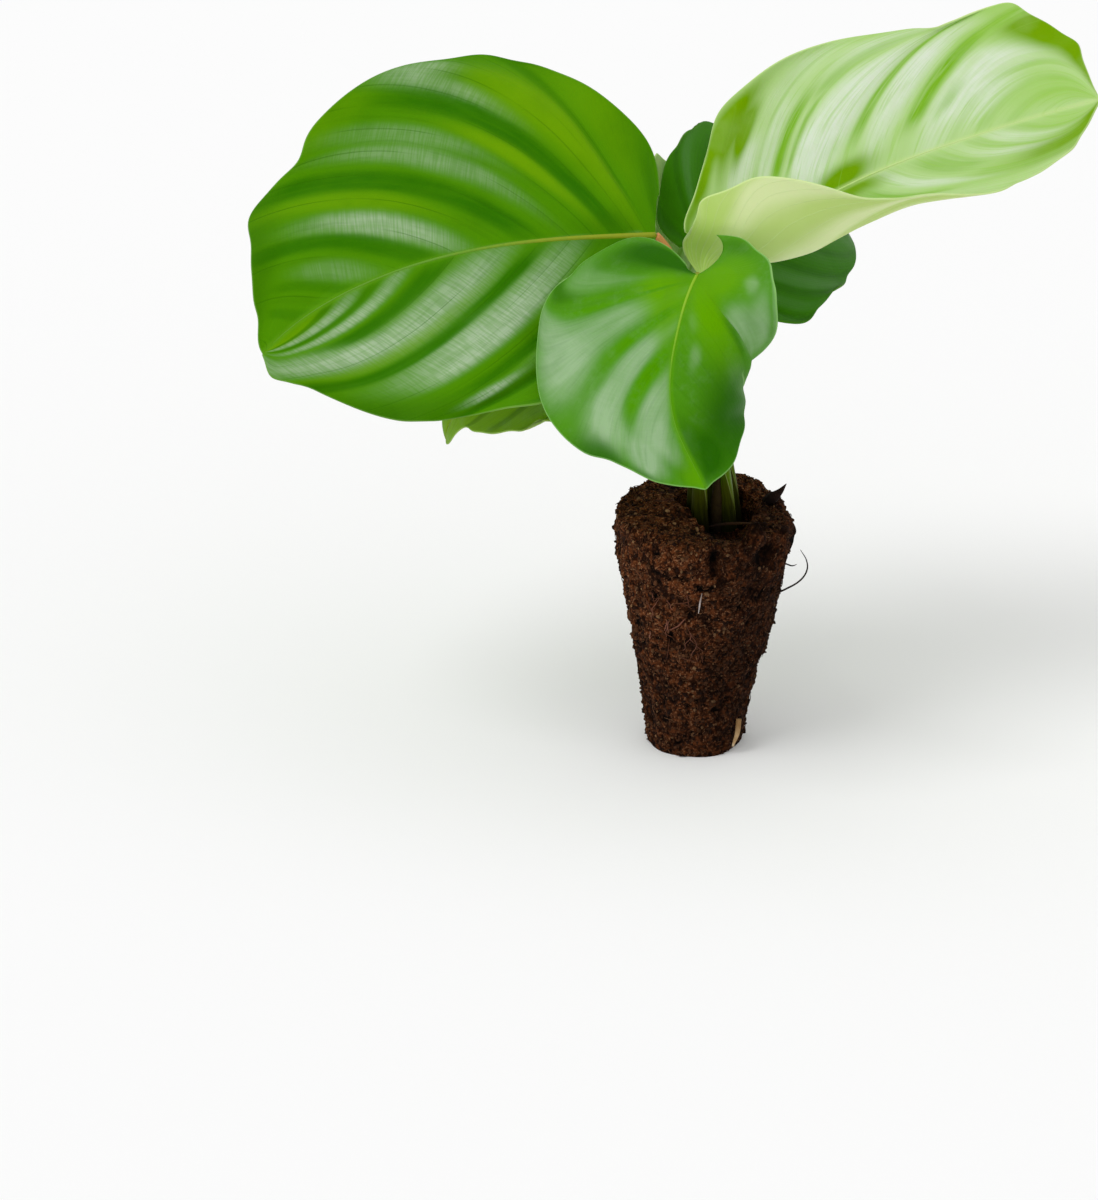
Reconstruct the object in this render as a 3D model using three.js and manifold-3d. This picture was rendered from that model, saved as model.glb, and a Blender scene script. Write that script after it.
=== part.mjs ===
// A young calathea orbifolia in its bare root plug, in millimetres, +Z up.
// The plug stands on its flat base at the origin, and the front of the plant faces -Y.
// Each leaf is a thin blade: a flat outline, carried on a bent midrib, with halves that tilt and curl.

import * as THREE from 'three';
import { mergeVertices } from 'three/addons/utils/BufferGeometryUtils.js';
import Module from 'manifold-3d';

const wasm = await Module();
wasm.setup();

const BLADE_THICKNESS = 0.6;
const SEAT_GAP = 0.3;
const MIDRIB_STEPS = 60;
const END_SNAP = 0.5;
const FIRST_VEIN = 0.07;
const VEIN_STEP = 0.01;
const VEIN_SLANT = 0.2;

// The root plug: a tapered block of peat, with a pit at the top for the crown and the stalks.
const PLUG_HEIGHT = 42.5;
const PLUG_BASE_RADIUS = 8.3;
const PLUG_TOP_RADIUS = 15.6;
const PLUG_RIM = 2.2;
const PLUG_LEAN = 1.2;
const PLUG_ROUGHNESS = 0.35;
const PIT_CENTRE = new THREE.Vector2(3.7, 1.3);
const PIT_RADIUS = 6.8;
const PIT_FLOOR = 30.5;
const CROWN_RADIUS = 6.1;
const CROWN_TOP = 38.5;

const COLOURS = {
  peat: { color: 0x3a2212, roughness: 0.95, metalness: 0 },
  root: { color: 0x2a1a10, roughness: 0.8, metalness: 0 },
  paleRoot: { color: 0xb09468, roughness: 0.7, metalness: 0 },
  bark: { color: 0x2b1b12, roughness: 0.9, metalness: 0 },
  rhizome: { color: 0x6b5a30, roughness: 0.8, metalness: 0 },
  drySheath: { color: 0x4a3a1e, roughness: 0.85, metalness: 0 },
  stalk: { color: 0x6f8a2a, roughness: 0.45, metalness: 0 },
  greenBlade: { color: 0x3f8500, roughness: 0.3, metalness: 0 },
  darkBlade: { color: 0x2a5f08, roughness: 0.35, metalness: 0 },
  paleBlade: { color: 0xa9cc6a, roughness: 0.25, metalness: 0 },
};

// Each leaf's base point is where its stalk meets the blade. Angles are in degrees.
// heading, climb and roll set the blade's direction at its base; bend and sway turn the midrib up and
// to the left of that, at even steps from the base to the tip. left and right are the outline's
// distances from a centre point on the midrib, at even angles from the tip round to the base. lift and
// curl tilt and roll each half up, at even steps along the midrib; a half curls over its turn width.
// The stalk starts at the foot on the crown and arrives at the blade along arrive. width is its radius.
// A stalk's radius, as shares of its width at even steps from the foot to the thick joint at its top.
const STALK_SHAPE = [1.75, 1.45, 1.2, 1.05, 0.95, 0.9, 0.9, 1.15, 0.6];
const STALK_RISE = 0.45;
const STALK_HOOK = 10;

const LEAVES = {
  left_leaf: {
    base: [-7.4, 9, 90.6], heading: 191, climb: 2, roll: -42, length: 72.3, centre: 34,
    bend: [0, -4, -9, -13, -16, -22], sway: [0, 0, 4, 12, 23, 40],
    left: [38, 38, 36, 32, 31, 34, 33, 33, 34],
    right: [38, 33, 33, 35, 38, 39, 39, 38, 34],
    liftLeft: [4, 6, 6, 4, 0], curlLeft: [-6, -10, -10, -8, -4],
    liftRight: [4, 6, 6, 4, 0], curlRight: [-6, -10, -10, -8, -4],
    wave: 1.0, waves: 3, wavePhase: 0.1,
    rows: 18, columns: 12, colour: 'greenBlade',
    stalk: { foot: [3.0, 2.6], arrive: [-0.65, -0.23, 0.73], width: 0.8 },
  },
  front_leaf: {
    base: [-1.1, -18, 92.0], heading: -92, climb: -32, roll: 12, length: 37.6, centre: 18,
    bend: [0, -20, -32, -36, -36, -30], sway: [-24, -20, -18, 0, 24, 24],
    left: [19.6, 19.3, 19.1, 18.8, 17.4, 17, 23, 26.6, 27.2],
    right: [19.6, 17, 15.3, 18.4, 23.9, 27.6, 28, 27.2, 20],
    openLeft: 178, openRight: 172, firstVein: 0,
    liftLeft: [20, 18, 12, 8, 4, 0, -5, -8, -10], curlLeft: [0, -10, -65, -110, -115, -95, -75, -50, -40],
    liftRight: [0, 0], curlRight: [-10, -10],
    wave: 0.5, waves: 2, wavePhase: 0.1,
    rows: 18, columns: 14, colour: 'greenBlade',
    stalk: { foot: [0.5, -2.0], arrive: [0, -0.6, 0.8], width: 0.95 },
  },
  right_leaf: {
    base: [0.2, 7, 83.8], heading: 6, climb: 37, roll: 40, length: 75.3, centre: 37,
    bend: [0, -4, -8, -14, -16, -18], sway: [0, -4, -8, -12, -14, -16],
    left: [38, 38.7, 28, 26.7, 28.5, 31, 37],
    right: [38, 29.8, 21, 22, 35, 37, 37],
    sweep: 3.2,
    liftLeft: [20, 10, 5, 0, 0], curlLeft: [20, 10, 0, -10, -10],
    liftRight: [90, 20, -12, -8, 5, 16, 20, 20, 20],
    curlRight: [70, 110, 130, 115, 80, 40, 20, 20, 10], turnRight: 24,
    wave: 0.8, waves: 3, wavePhase: 0.1,
    rows: 22, columns: 20, colour: 'paleBlade',
    stalk: { foot: [6.5, -1.0], arrive: [0.15, 0.2, 0.95], width: 1.15 },
  },
  back_leaf: {
    base: [1.3, 14, 83.7], heading: 38, climb: 12, roll: 42, length: 43, centre: 19,
    bend: [0, -10, -18, -26, -34, -42], sway: [0, 0],
    left: [24, 23, 23, 25, 24, 22, 19],
    right: [24, 19, 16, 17, 20, 21, 19],
    liftLeft: [0, 0], curlLeft: [0, 0],
    liftRight: [0, 0], curlRight: [0, 0],
    wave: 0.6, waves: 3, wavePhase: 0.1,
    rows: 16, columns: 12, colour: 'darkBlade',
    stalk: { foot: [6.8, 3.8], arrive: [0.5, 0.4, 0.76], width: 0.75 },
  },
  low_leaf: {
    base: [-7.0, 6, 73], heading: 184, climb: 0, roll: -30, length: 46, centre: 18,
    bend: [0, -14, -26, -34, -46, -90], sway: [0, 0, 0, 4, 12, 30],
    left: [28, 16, 16, 16, 16, 17, 18],
    right: [28, 15, 15, 16, 16, 17, 18],
    liftLeft: [0, 0], curlLeft: [0, 0],
    liftRight: [0, 0], curlRight: [0, 0],
    wave: 0.4, waves: 3, wavePhase: 0.1,
    rows: 16, columns: 10, colour: 'greenBlade',
    stalk: { foot: [-0.7, 2.1], arrive: [-0.8, 0, 0.6], width: 0.7 },
  },
  spear_leaf: {
    base: [-1.5, 26, 73.6], heading: 120, climb: 70, roll: 0, length: 26, centre: 12,
    bend: [0, 2, 4, 6, 8, 10], sway: [10, 10, 10, 0, 0, 0],
    left: [14, 10, 7.2, 6.5, 7.5, 9.6, 12],
    right: [14, 10, 7.2, 6.5, 7.5, 9.6, 12],
    liftLeft: [30, 20, 10, 0, 0], curlLeft: [80, 70, 60, 40, 20],
    liftRight: [30, 20, 10, 0, 0], curlRight: [80, 70, 60, 40, 20],
    wave: 0.2, waves: 2, wavePhase: 0.1,
    rows: 14, columns: 10, colour: 'paleBlade',
    stalk: { foot: [3.6, 5.8], arrive: [-0.2, 0.3, 0.93], width: 0.6 },
  },
};

const radians = THREE.MathUtils.degToRad;
const clamp = THREE.MathUtils.clamp;

// Smooth value at u, from 0 to 1, through evenly spaced values.
function smooth(values, u) {
  const last = values.length - 1;
  const at = clamp(u, 0, 1) * last;
  const i = Math.min(Math.floor(at), last - 1);
  const f = at - i;
  const b = values[i];
  const c = values[i + 1];
  const a = i > 0 ? values[i - 1] : 2 * b - c;
  const d = i + 2 <= last ? values[i + 2] : 2 * c - b;
  const square = (2 * a - 5 * b + 4 * c - d) * f * f;
  const cube = (3 * b - a - 3 * c + d) * f * f * f;
  return 0.5 * (2 * b + (c - a) * f + square + cube);
}

// The midrib's points and its forward, side and upward directions at even steps.
function midribFrames(leaf) {
  const heading = radians(leaf.heading);
  const climb = radians(leaf.climb);
  const roll = radians(leaf.roll);
  const forward = new THREE.Vector3(
    Math.cos(heading) * Math.cos(climb), Math.sin(heading) * Math.cos(climb), Math.sin(climb));
  const level = new THREE.Vector3(0, 0, 1).cross(forward).normalize();
  const raised = forward.clone().cross(level);
  const side = level.clone().multiplyScalar(Math.cos(roll)).addScaledVector(raised, Math.sin(roll));
  const up = raised.clone().multiplyScalar(Math.cos(roll)).addScaledVector(level, -Math.sin(roll));
  const frames = [];
  const point = new THREE.Vector3(...leaf.base);
  let previous = null;
  for (let k = 0; k <= MIDRIB_STEPS; k += 1) {
    const bend = radians(smooth(leaf.bend, k / MIDRIB_STEPS));
    const sway = radians(smooth(leaf.sway, k / MIDRIB_STEPS));
    const turned = forward.clone().multiplyScalar(Math.cos(sway)).addScaledVector(side, Math.sin(sway));
    const along = turned.clone().multiplyScalar(Math.cos(bend)).addScaledVector(up, Math.sin(bend));
    const normal = up.clone().multiplyScalar(Math.cos(bend)).addScaledVector(turned, -Math.sin(bend));
    const across = normal.clone().cross(along);
    if (previous) {
      point.addScaledVector(along.clone().add(previous), leaf.length / MIDRIB_STEPS / 2);
    }
    previous = along;
    frames.push({ point: point.clone(), along, across, normal });
  }
  return frames;
}

// The outline's point where a vein ends, along and across the midrib. vein runs from 0 at the base to 1
// at the tip.
function outlinePoint(leaf, vein, isLeft) {
  const opening = isLeft ? leaf.openLeft ?? 180 : leaf.openRight ?? 180;
  const reach = smooth(isLeft ? leaf.left : leaf.right, 1 - vein);
  const angle = radians((1 - vein) * opening);
  return new THREE.Vector2(leaf.centre + reach * Math.cos(angle), reach * Math.sin(angle));
}

// A point of the flat blade: share runs from -1 at the right margin to 1 at the left one. Each vein is
// one bow from the midrib, along the leaf at its end, that meets the outline from inside.
function flatPoint(leaf, vein, share) {
  const isLeft = share >= 0;
  const start = new THREE.Vector2(leaf.length * vein ** (leaf.sweep ?? 5), 0);
  const end = outlinePoint(leaf, vein, isLeft);
  const ahead = outlinePoint(leaf, Math.min(vein + VEIN_STEP, 1), isLeft);
  const behind = outlinePoint(leaf, Math.max(vein - VEIN_STEP, 0), isLeft);
  const edge = ahead.sub(behind).normalize();
  const outward = new THREE.Vector2(-edge.y, edge.x);
  const last = new THREE.Vector2((end.x - start.x) / 2, 0);
  const lacking = VEIN_SLANT * last.length() - outward.dot(last);
  const bow = end.clone().sub(last.addScaledVector(outward, Math.max(lacking, 0)));
  const t = Math.abs(share);
  return start.multiplyScalar((1 - t) * (1 - t))
    .addScaledVector(bow, 2 * t * (1 - t))
    .addScaledVector(end, t * t);
}

// The blade's point in space: the flat point set on the bent midrib, on its tilted and curled half.
function bladePoint(leaf, frames, vein, share) {
  const isLeft = share >= 0;
  const { x: along, y: across } = flatPoint(leaf, vein, share);
  const u = clamp(along / leaf.length, 0, 1);
  const at = u * MIDRIB_STEPS;
  const i = Math.min(Math.floor(at), MIDRIB_STEPS - 1);
  const mix = (name) => frames[i][name].clone().lerp(frames[i + 1][name], at - i);
  const lift = radians(smooth(isLeft ? leaf.liftLeft : leaf.liftRight, u));
  const turn = isLeft ? leaf.centre : leaf.turnRight ?? leaf.centre;
  const rolled = radians(smooth(isLeft ? leaf.curlLeft : leaf.curlRight, u)) / turn;
  const curl = Math.abs(rolled) < 1e-6 ? 1e-6 : rolled;
  const near = Math.min(across, turn);
  const slope = lift + curl * near;
  const phase = leaf.waves * vein + leaf.wavePhase + (isLeft ? 0 : 0.4);
  const fade = clamp(2.5 * Math.sin(Math.PI * vein), 0, 1);
  const ripple = leaf.wave * share * share * fade * Math.sin(2 * Math.PI * phase);
  const sideways = (Math.sin(slope) - Math.sin(lift)) / curl
    + (across - near) * Math.cos(slope) - Math.sin(slope) * ripple;
  const upward = (Math.cos(lift) - Math.cos(slope)) / curl
    + (across - near) * Math.sin(slope) + Math.cos(slope) * ripple;
  return mix('point')
    .addScaledVector(mix('along'), Math.min(along, 0))
    .addScaledVector(mix('across'), isLeft ? sideways : -sideways)
    .addScaledVector(mix('normal'), upward);
}

// A closed mesh from its triangles' corners, with shared corners merged and flat triangles dropped.
function closedGeometry(corners) {
  const loose = new THREE.BufferGeometry();
  loose.setAttribute('position', new THREE.Float32BufferAttribute(corners.flatMap((p) => p.toArray()), 3));
  const merged = mergeVertices(loose, 1e-4);
  const index = Array.from(merged.index.array);
  const kept = [];
  for (let k = 0; k < index.length; k += 3) {
    const [a, b, c] = index.slice(k, k + 3);
    if (a !== b && b !== c && c !== a) {
      kept.push(a, b, c);
    }
  }
  merged.setIndex(kept);
  merged.computeVertexNormals();
  return merged;
}

// A blade as a thin closed body, half its thickness on each side of the leaf's surface.
function bladeGeometry(leaf) {
  const frames = midribFrames(leaf);
  const { rows, columns } = leaf;
  const first = leaf.firstVein ?? FIRST_VEIN;
  const veinAt = (row) => first + (1 - first) * (1 - (1 - row / rows) ** 1.6);
  const shareAt = (column) => -1 + 2 * column / columns;
  const ends = [frames[0], frames[MIDRIB_STEPS]];
  const endNear = (point) => ends.find((end) => point.distanceTo(end.point) < END_SNAP);
  const middle = [];
  for (let row = 0; row <= rows; row += 1) {
    middle.push([]);
    for (let column = 0; column <= columns; column += 1) {
      const point = bladePoint(leaf, frames, veinAt(row), shareAt(column));
      middle[row].push(endNear(point)?.point.clone() ?? point);
    }
  }
  const isPoint = (row) => middle[row][0].distanceTo(middle[row][columns]) < 0.01;
  const normalAt = (row, column) => {
    const end = endNear(middle[row][column]);
    if (end) {
      return end.normal.clone();
    }
    const ahead = middle[Math.min(row + 1, rows)][column];
    const behind = middle[Math.max(row - 1, 0)][column];
    const left = middle[row][Math.min(column + 1, columns)];
    const right = middle[row][Math.max(column - 1, 0)];
    return ahead.clone().sub(behind).cross(left.clone().sub(right)).normalize();
  };
  const upper = [];
  const lower = [];
  for (let row = 0; row <= rows; row += 1) {
    upper.push([]);
    lower.push([]);
    for (let column = 0; column <= columns; column += 1) {
      const half = normalAt(row, column).multiplyScalar(BLADE_THICKNESS / 2);
      upper[row].push(middle[row][column].clone().add(half));
      lower[row].push(middle[row][column].clone().sub(half));
    }
  }
  const corners = [];
  const quad = (a, b, c, d) => corners.push(a, b, c, a, c, d);
  for (let row = 0; row < rows; row += 1) {
    for (let column = 0; column < columns; column += 1) {
      quad(upper[row][column], upper[row + 1][column], upper[row + 1][column + 1], upper[row][column + 1]);
      quad(lower[row][column], lower[row][column + 1], lower[row + 1][column + 1], lower[row + 1][column]);
    }
    quad(upper[row][0], lower[row][0], lower[row + 1][0], upper[row + 1][0]);
    quad(upper[row][columns], upper[row + 1][columns], lower[row + 1][columns], lower[row][columns]);
  }
  if (!isPoint(0)) {
    for (let column = 0; column < columns; column += 1) {
      quad(upper[0][column], upper[0][column + 1], lower[0][column + 1], lower[0][column]);
    }
  }
  return closedGeometry(corners);
}

// A round bar along a curve, its radius smooth through evenly spaced values, closed at both ends.
function barGeometry(curve, radii, steps, sides) {
  const { normals, binormals } = curve.computeFrenetFrames(steps);
  const rings = [];
  for (let k = 0; k <= steps; k += 1) {
    const centre = curve.getPointAt(k / steps);
    const radius = smooth(radii, k / steps);
    const ring = [];
    for (let side = 0; side < sides; side += 1) {
      const angle = 2 * Math.PI * side / sides;
      ring.push(centre.clone()
        .addScaledVector(normals[k], radius * Math.cos(angle))
        .addScaledVector(binormals[k], radius * Math.sin(angle)));
    }
    rings.push(ring);
  }
  const corners = [];
  const start = curve.getPointAt(0);
  const end = curve.getPointAt(1);
  for (let side = 0; side < sides; side += 1) {
    const next = (side + 1) % sides;
    for (let k = 0; k < steps; k += 1) {
      corners.push(rings[k][side], rings[k][next], rings[k + 1][next]);
      corners.push(rings[k][side], rings[k + 1][next], rings[k + 1][side]);
    }
    corners.push(start, rings[0][next], rings[0][side]);
    corners.push(end, rings[steps][side], rings[steps][next]);
  }
  return closedGeometry(corners);
}

// A leaf's stalk: one arch that leaves the crown upright and ends in a thick joint under the blade's base.
function stalkGeometry(leaf) {
  const base = new THREE.Vector3(...leaf.base);
  const arrive = new THREE.Vector3(...leaf.stalk.arrive).normalize();
  const foot = new THREE.Vector3(...leaf.stalk.foot, CROWN_TOP + SEAT_GAP);
  const top = base.clone().addScaledVector(arrive, -(SEAT_GAP + BLADE_THICKNESS * 0.75));
  const rise = foot.clone().add(new THREE.Vector3(0, 0, STALK_RISE * (top.z - foot.z)));
  const below = top.clone().addScaledVector(arrive, -STALK_HOOK);
  const arch = new THREE.CubicBezierCurve3(foot, rise, below, top);
  return barGeometry(arch, STALK_SHAPE.map((share) => share * leaf.stalk.width), 24, 10);
}

function solidOf(geometry) {
  const bare = geometry.clone();
  bare.deleteAttribute('normal');
  bare.deleteAttribute('uv');
  const merged = mergeVertices(bare, 1e-4);
  return new wasm.Manifold(new wasm.Mesh({
    numProp: 3,
    vertProperties: new Float32Array(merged.attributes.position.array),
    triVerts: new Uint32Array(merged.index.array),
  }));
}

function geometryOf(solid) {
  const mesh = solid.getMesh();
  const geometry = new THREE.BufferGeometry();
  geometry.setAttribute('position', new THREE.Float32BufferAttribute(mesh.vertProperties, 3));
  geometry.setIndex(Array.from(mesh.triVerts));
  geometry.computeVertexNormals();
  return geometry;
}

// The plug's block: a lathe, its side made uneven and leaning a little, with its base left flat.
function plugBlock() {
  const profile = [
    [0, 0],
    [PLUG_BASE_RADIUS, 0],
    [9.0, 6],
    [10.3, 14],
    [12.2, 22],
    [13.9, 30],
    [15.2, 36],
    [PLUG_TOP_RADIUS, PLUG_HEIGHT - PLUG_RIM],
    [PLUG_TOP_RADIUS - PLUG_RIM * 0.4, PLUG_HEIGHT - PLUG_RIM * 0.3],
    [PLUG_TOP_RADIUS - PLUG_RIM, PLUG_HEIGHT],
    [0, PLUG_HEIGHT],
  ].map(([radius, height]) => new THREE.Vector2(radius, height));
  const geometry = new THREE.LatheGeometry(profile, 36);
  geometry.rotateX(Math.PI / 2);
  const position = geometry.attributes.position;
  for (let k = 0; k < position.count; k += 1) {
    const x = position.getX(k);
    const y = position.getY(k);
    const z = position.getZ(k);
    const angle = Math.atan2(y, x);
    const lumps = Math.sin(3 * angle + 0.11 * z) + Math.sin(5 * angle - 0.23 * z + 1);
    const swell = z > 0.1 ? 1 + PLUG_ROUGHNESS * lumps / PLUG_TOP_RADIUS : 1;
    position.setXYZ(k, x * swell + PLUG_LEAN * z / PLUG_HEIGHT, y * swell, z);
  }
  return geometry;
}

function pitShape() {
  const profile = [
    [0, PIT_FLOOR],
    [PIT_RADIUS - 0.4, PIT_FLOOR],
    [PIT_RADIUS - 0.2, PLUG_HEIGHT - 1.5],
    [PIT_RADIUS + 1, PLUG_HEIGHT + 1],
    [0, PLUG_HEIGHT + 1],
  ].map(([radius, height]) => new THREE.Vector2(radius, height));
  const geometry = new THREE.LatheGeometry(profile, 24);
  geometry.rotateX(Math.PI / 2);
  geometry.translate(PIT_CENTRE.x, PIT_CENTRE.y, 0);
  return geometry;
}

function plugGeometry() {
  return geometryOf(solidOf(plugBlock()).subtract(solidOf(pitShape())));
}

// The crown: a low knob of rhizome that stands on the pit's floor and carries the stalks.
function crownGeometry() {
  const bottom = PIT_FLOOR + SEAT_GAP;
  const profile = [
    [0, bottom],
    [CROWN_RADIUS - 1.2, bottom],
    [CROWN_RADIUS, bottom + 2],
    [CROWN_RADIUS, CROWN_TOP - 0.9],
    [CROWN_RADIUS - 0.5, CROWN_TOP],
    [0, CROWN_TOP],
  ].map(([radius, height]) => new THREE.Vector2(radius, height));
  const geometry = new THREE.LatheGeometry(profile, 20);
  geometry.rotateX(Math.PI / 2);
  geometry.translate(PIT_CENTRE.x, PIT_CENTRE.y, 0);
  return geometry;
}

// A short dry sheath of an old leaf, between the two front stalks.
function drySheathGeometry() {
  const foot = new THREE.Vector3(3.35, -1.6, CROWN_TOP + SEAT_GAP);
  const points = [foot, foot.clone().add(new THREE.Vector3(0, 0, 7)), foot.clone().add(new THREE.Vector3(0, -0.1, 14))];
  return barGeometry(new THREE.CatmullRomCurve3(points, false, 'centripetal'), [0.85, 0.75, 0.3], 10, 10);
}

// A sliver of bark on the plug's rim, its point past the edge.
function barkChipGeometry() {
  const level = PLUG_HEIGHT + SEAT_GAP;
  const points = [
    new THREE.Vector3(11.6, 3.4, level + 0.75),
    new THREE.Vector3(13.8, 3.2, level + 0.85),
    new THREE.Vector3(16.9, 2.9, level + 1.5),
  ];
  return barGeometry(new THREE.CatmullRomCurve3(points, false, 'centripetal'), [0.7, 0.75, 0.12], 8, 6);
}

// Roots that stand out of the plug's side.
function rootLoopGeometry() {
  const points = [
    new THREE.Vector3(16.1, -4.2, 36.5),
    new THREE.Vector3(18.6, -5.0, 35.7),
    new THREE.Vector3(20.4, -5.5, 32.8),
    new THREE.Vector3(19.4, -5.5, 30.0),
    new THREE.Vector3(17.0, -5.0, 28.6),
    new THREE.Vector3(14.6, -4.4, 27.9),
  ];
  return barGeometry(new THREE.CatmullRomCurve3(points, false, 'centripetal'), [0.3, 0.3], 24, 8);
}

function rootTipGeometry() {
  const points = [
    new THREE.Vector3(7.6, -6.4, 6.5),
    new THREE.Vector3(7.4, -6.9, 4.2),
    new THREE.Vector3(6.6, -7.2, 1.6),
  ];
  return barGeometry(new THREE.CatmullRomCurve3(points, false, 'centripetal'), [0.5, 0.45, 0.25], 8, 8);
}

function piece(name, geometry, colour) {
  const mesh = new THREE.Mesh(geometry, new THREE.MeshStandardMaterial(COLOURS[colour]));
  mesh.name = name;
  return mesh;
}

const plant = new THREE.Group();

const roots = new THREE.Group();
roots.add(piece('root_plug', plugGeometry(), 'peat'));
roots.add(piece('crown', crownGeometry(), 'rhizome'));
roots.add(piece('dry_sheath', drySheathGeometry(), 'drySheath'));
roots.add(piece('bark_chip', barkChipGeometry(), 'bark'));
roots.add(piece('root_loop', rootLoopGeometry(), 'root'));
roots.add(piece('root_tip', rootTipGeometry(), 'paleRoot'));
plant.add(roots);

for (const [name, leaf] of Object.entries(LEAVES)) {
  plant.add(piece(name, bladeGeometry(leaf), leaf.colour));
  plant.add(piece(`${name}_stalk`, stalkGeometry(leaf), 'stalk'));
}

export default plant;
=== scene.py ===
"""A young calathea orbifolia in its bare root plug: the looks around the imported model.

Lengths in this script are millimetres until a mesh is made. The plug stands on its flat base at the
origin, +Z is up and the front of the plant faces -Y.
"""

import math

import bpy
import numpy as np
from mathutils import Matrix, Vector


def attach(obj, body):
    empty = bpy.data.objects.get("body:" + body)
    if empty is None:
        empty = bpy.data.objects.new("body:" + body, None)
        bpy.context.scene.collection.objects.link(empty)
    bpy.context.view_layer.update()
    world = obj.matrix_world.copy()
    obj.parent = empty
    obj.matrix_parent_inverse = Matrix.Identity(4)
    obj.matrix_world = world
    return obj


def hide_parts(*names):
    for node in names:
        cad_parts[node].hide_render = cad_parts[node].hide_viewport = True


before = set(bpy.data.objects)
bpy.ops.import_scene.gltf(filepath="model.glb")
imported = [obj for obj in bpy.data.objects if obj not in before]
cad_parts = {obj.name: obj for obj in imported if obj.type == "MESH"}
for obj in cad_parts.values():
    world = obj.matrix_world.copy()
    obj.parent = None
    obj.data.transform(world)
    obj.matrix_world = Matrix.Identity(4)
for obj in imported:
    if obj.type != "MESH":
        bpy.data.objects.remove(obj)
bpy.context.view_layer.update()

MM = 0.001
SEED = 7

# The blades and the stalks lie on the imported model's surfaces and lines, and are a little thinner.
MIDRIB_STEPS = 240
VEIN_STEP = 0.01
VEIN_SLANT = 0.2
BLADE_THICKNESS = 0.42
STALK_SHAPE = [1.6, 1.35, 1.15, 1.0, 0.95, 0.9, 0.9, 1.15, 0.9]
STALK_RISE = 0.45
STALK_HOOK = 10
STALK_DEPTH = 1.0
STALK_GAP = 0.1
STALK_ROWS = 90
STALK_SIDES = 18
CROWN_TOP = 38.5

# How far the outline goes on past the midrib's end, and the shoulder of the hollow under a dark stripe.
TIP_REACH = 0.5
TIP_WIDTH = 0.02
HOLLOW_SHOULDER = 0.02

# What a blade and a half of it have where their entries below say nothing else.
PLAIN_LEAF = {
    "sway": [0, 0], "lift_left": [0, 0], "curl_left": [0, 0], "lift_right": [0, 0], "curl_right": [0, 0],
    "wave": 0.5, "waves": 3, "joint": "#8f9a34", "open_left": 180, "open_right": 180, "sweep": 5,
    "first_vein": 0.07, "hook": [0, 0, 1], "nudges_left": [], "nudges_right": [], "crinkles": [],
}
PLAIN_LOOKS = {"slant": [0, 0], "lines": 22, "silver_and_sheen": [], "warm": [], "shade": []}
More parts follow.
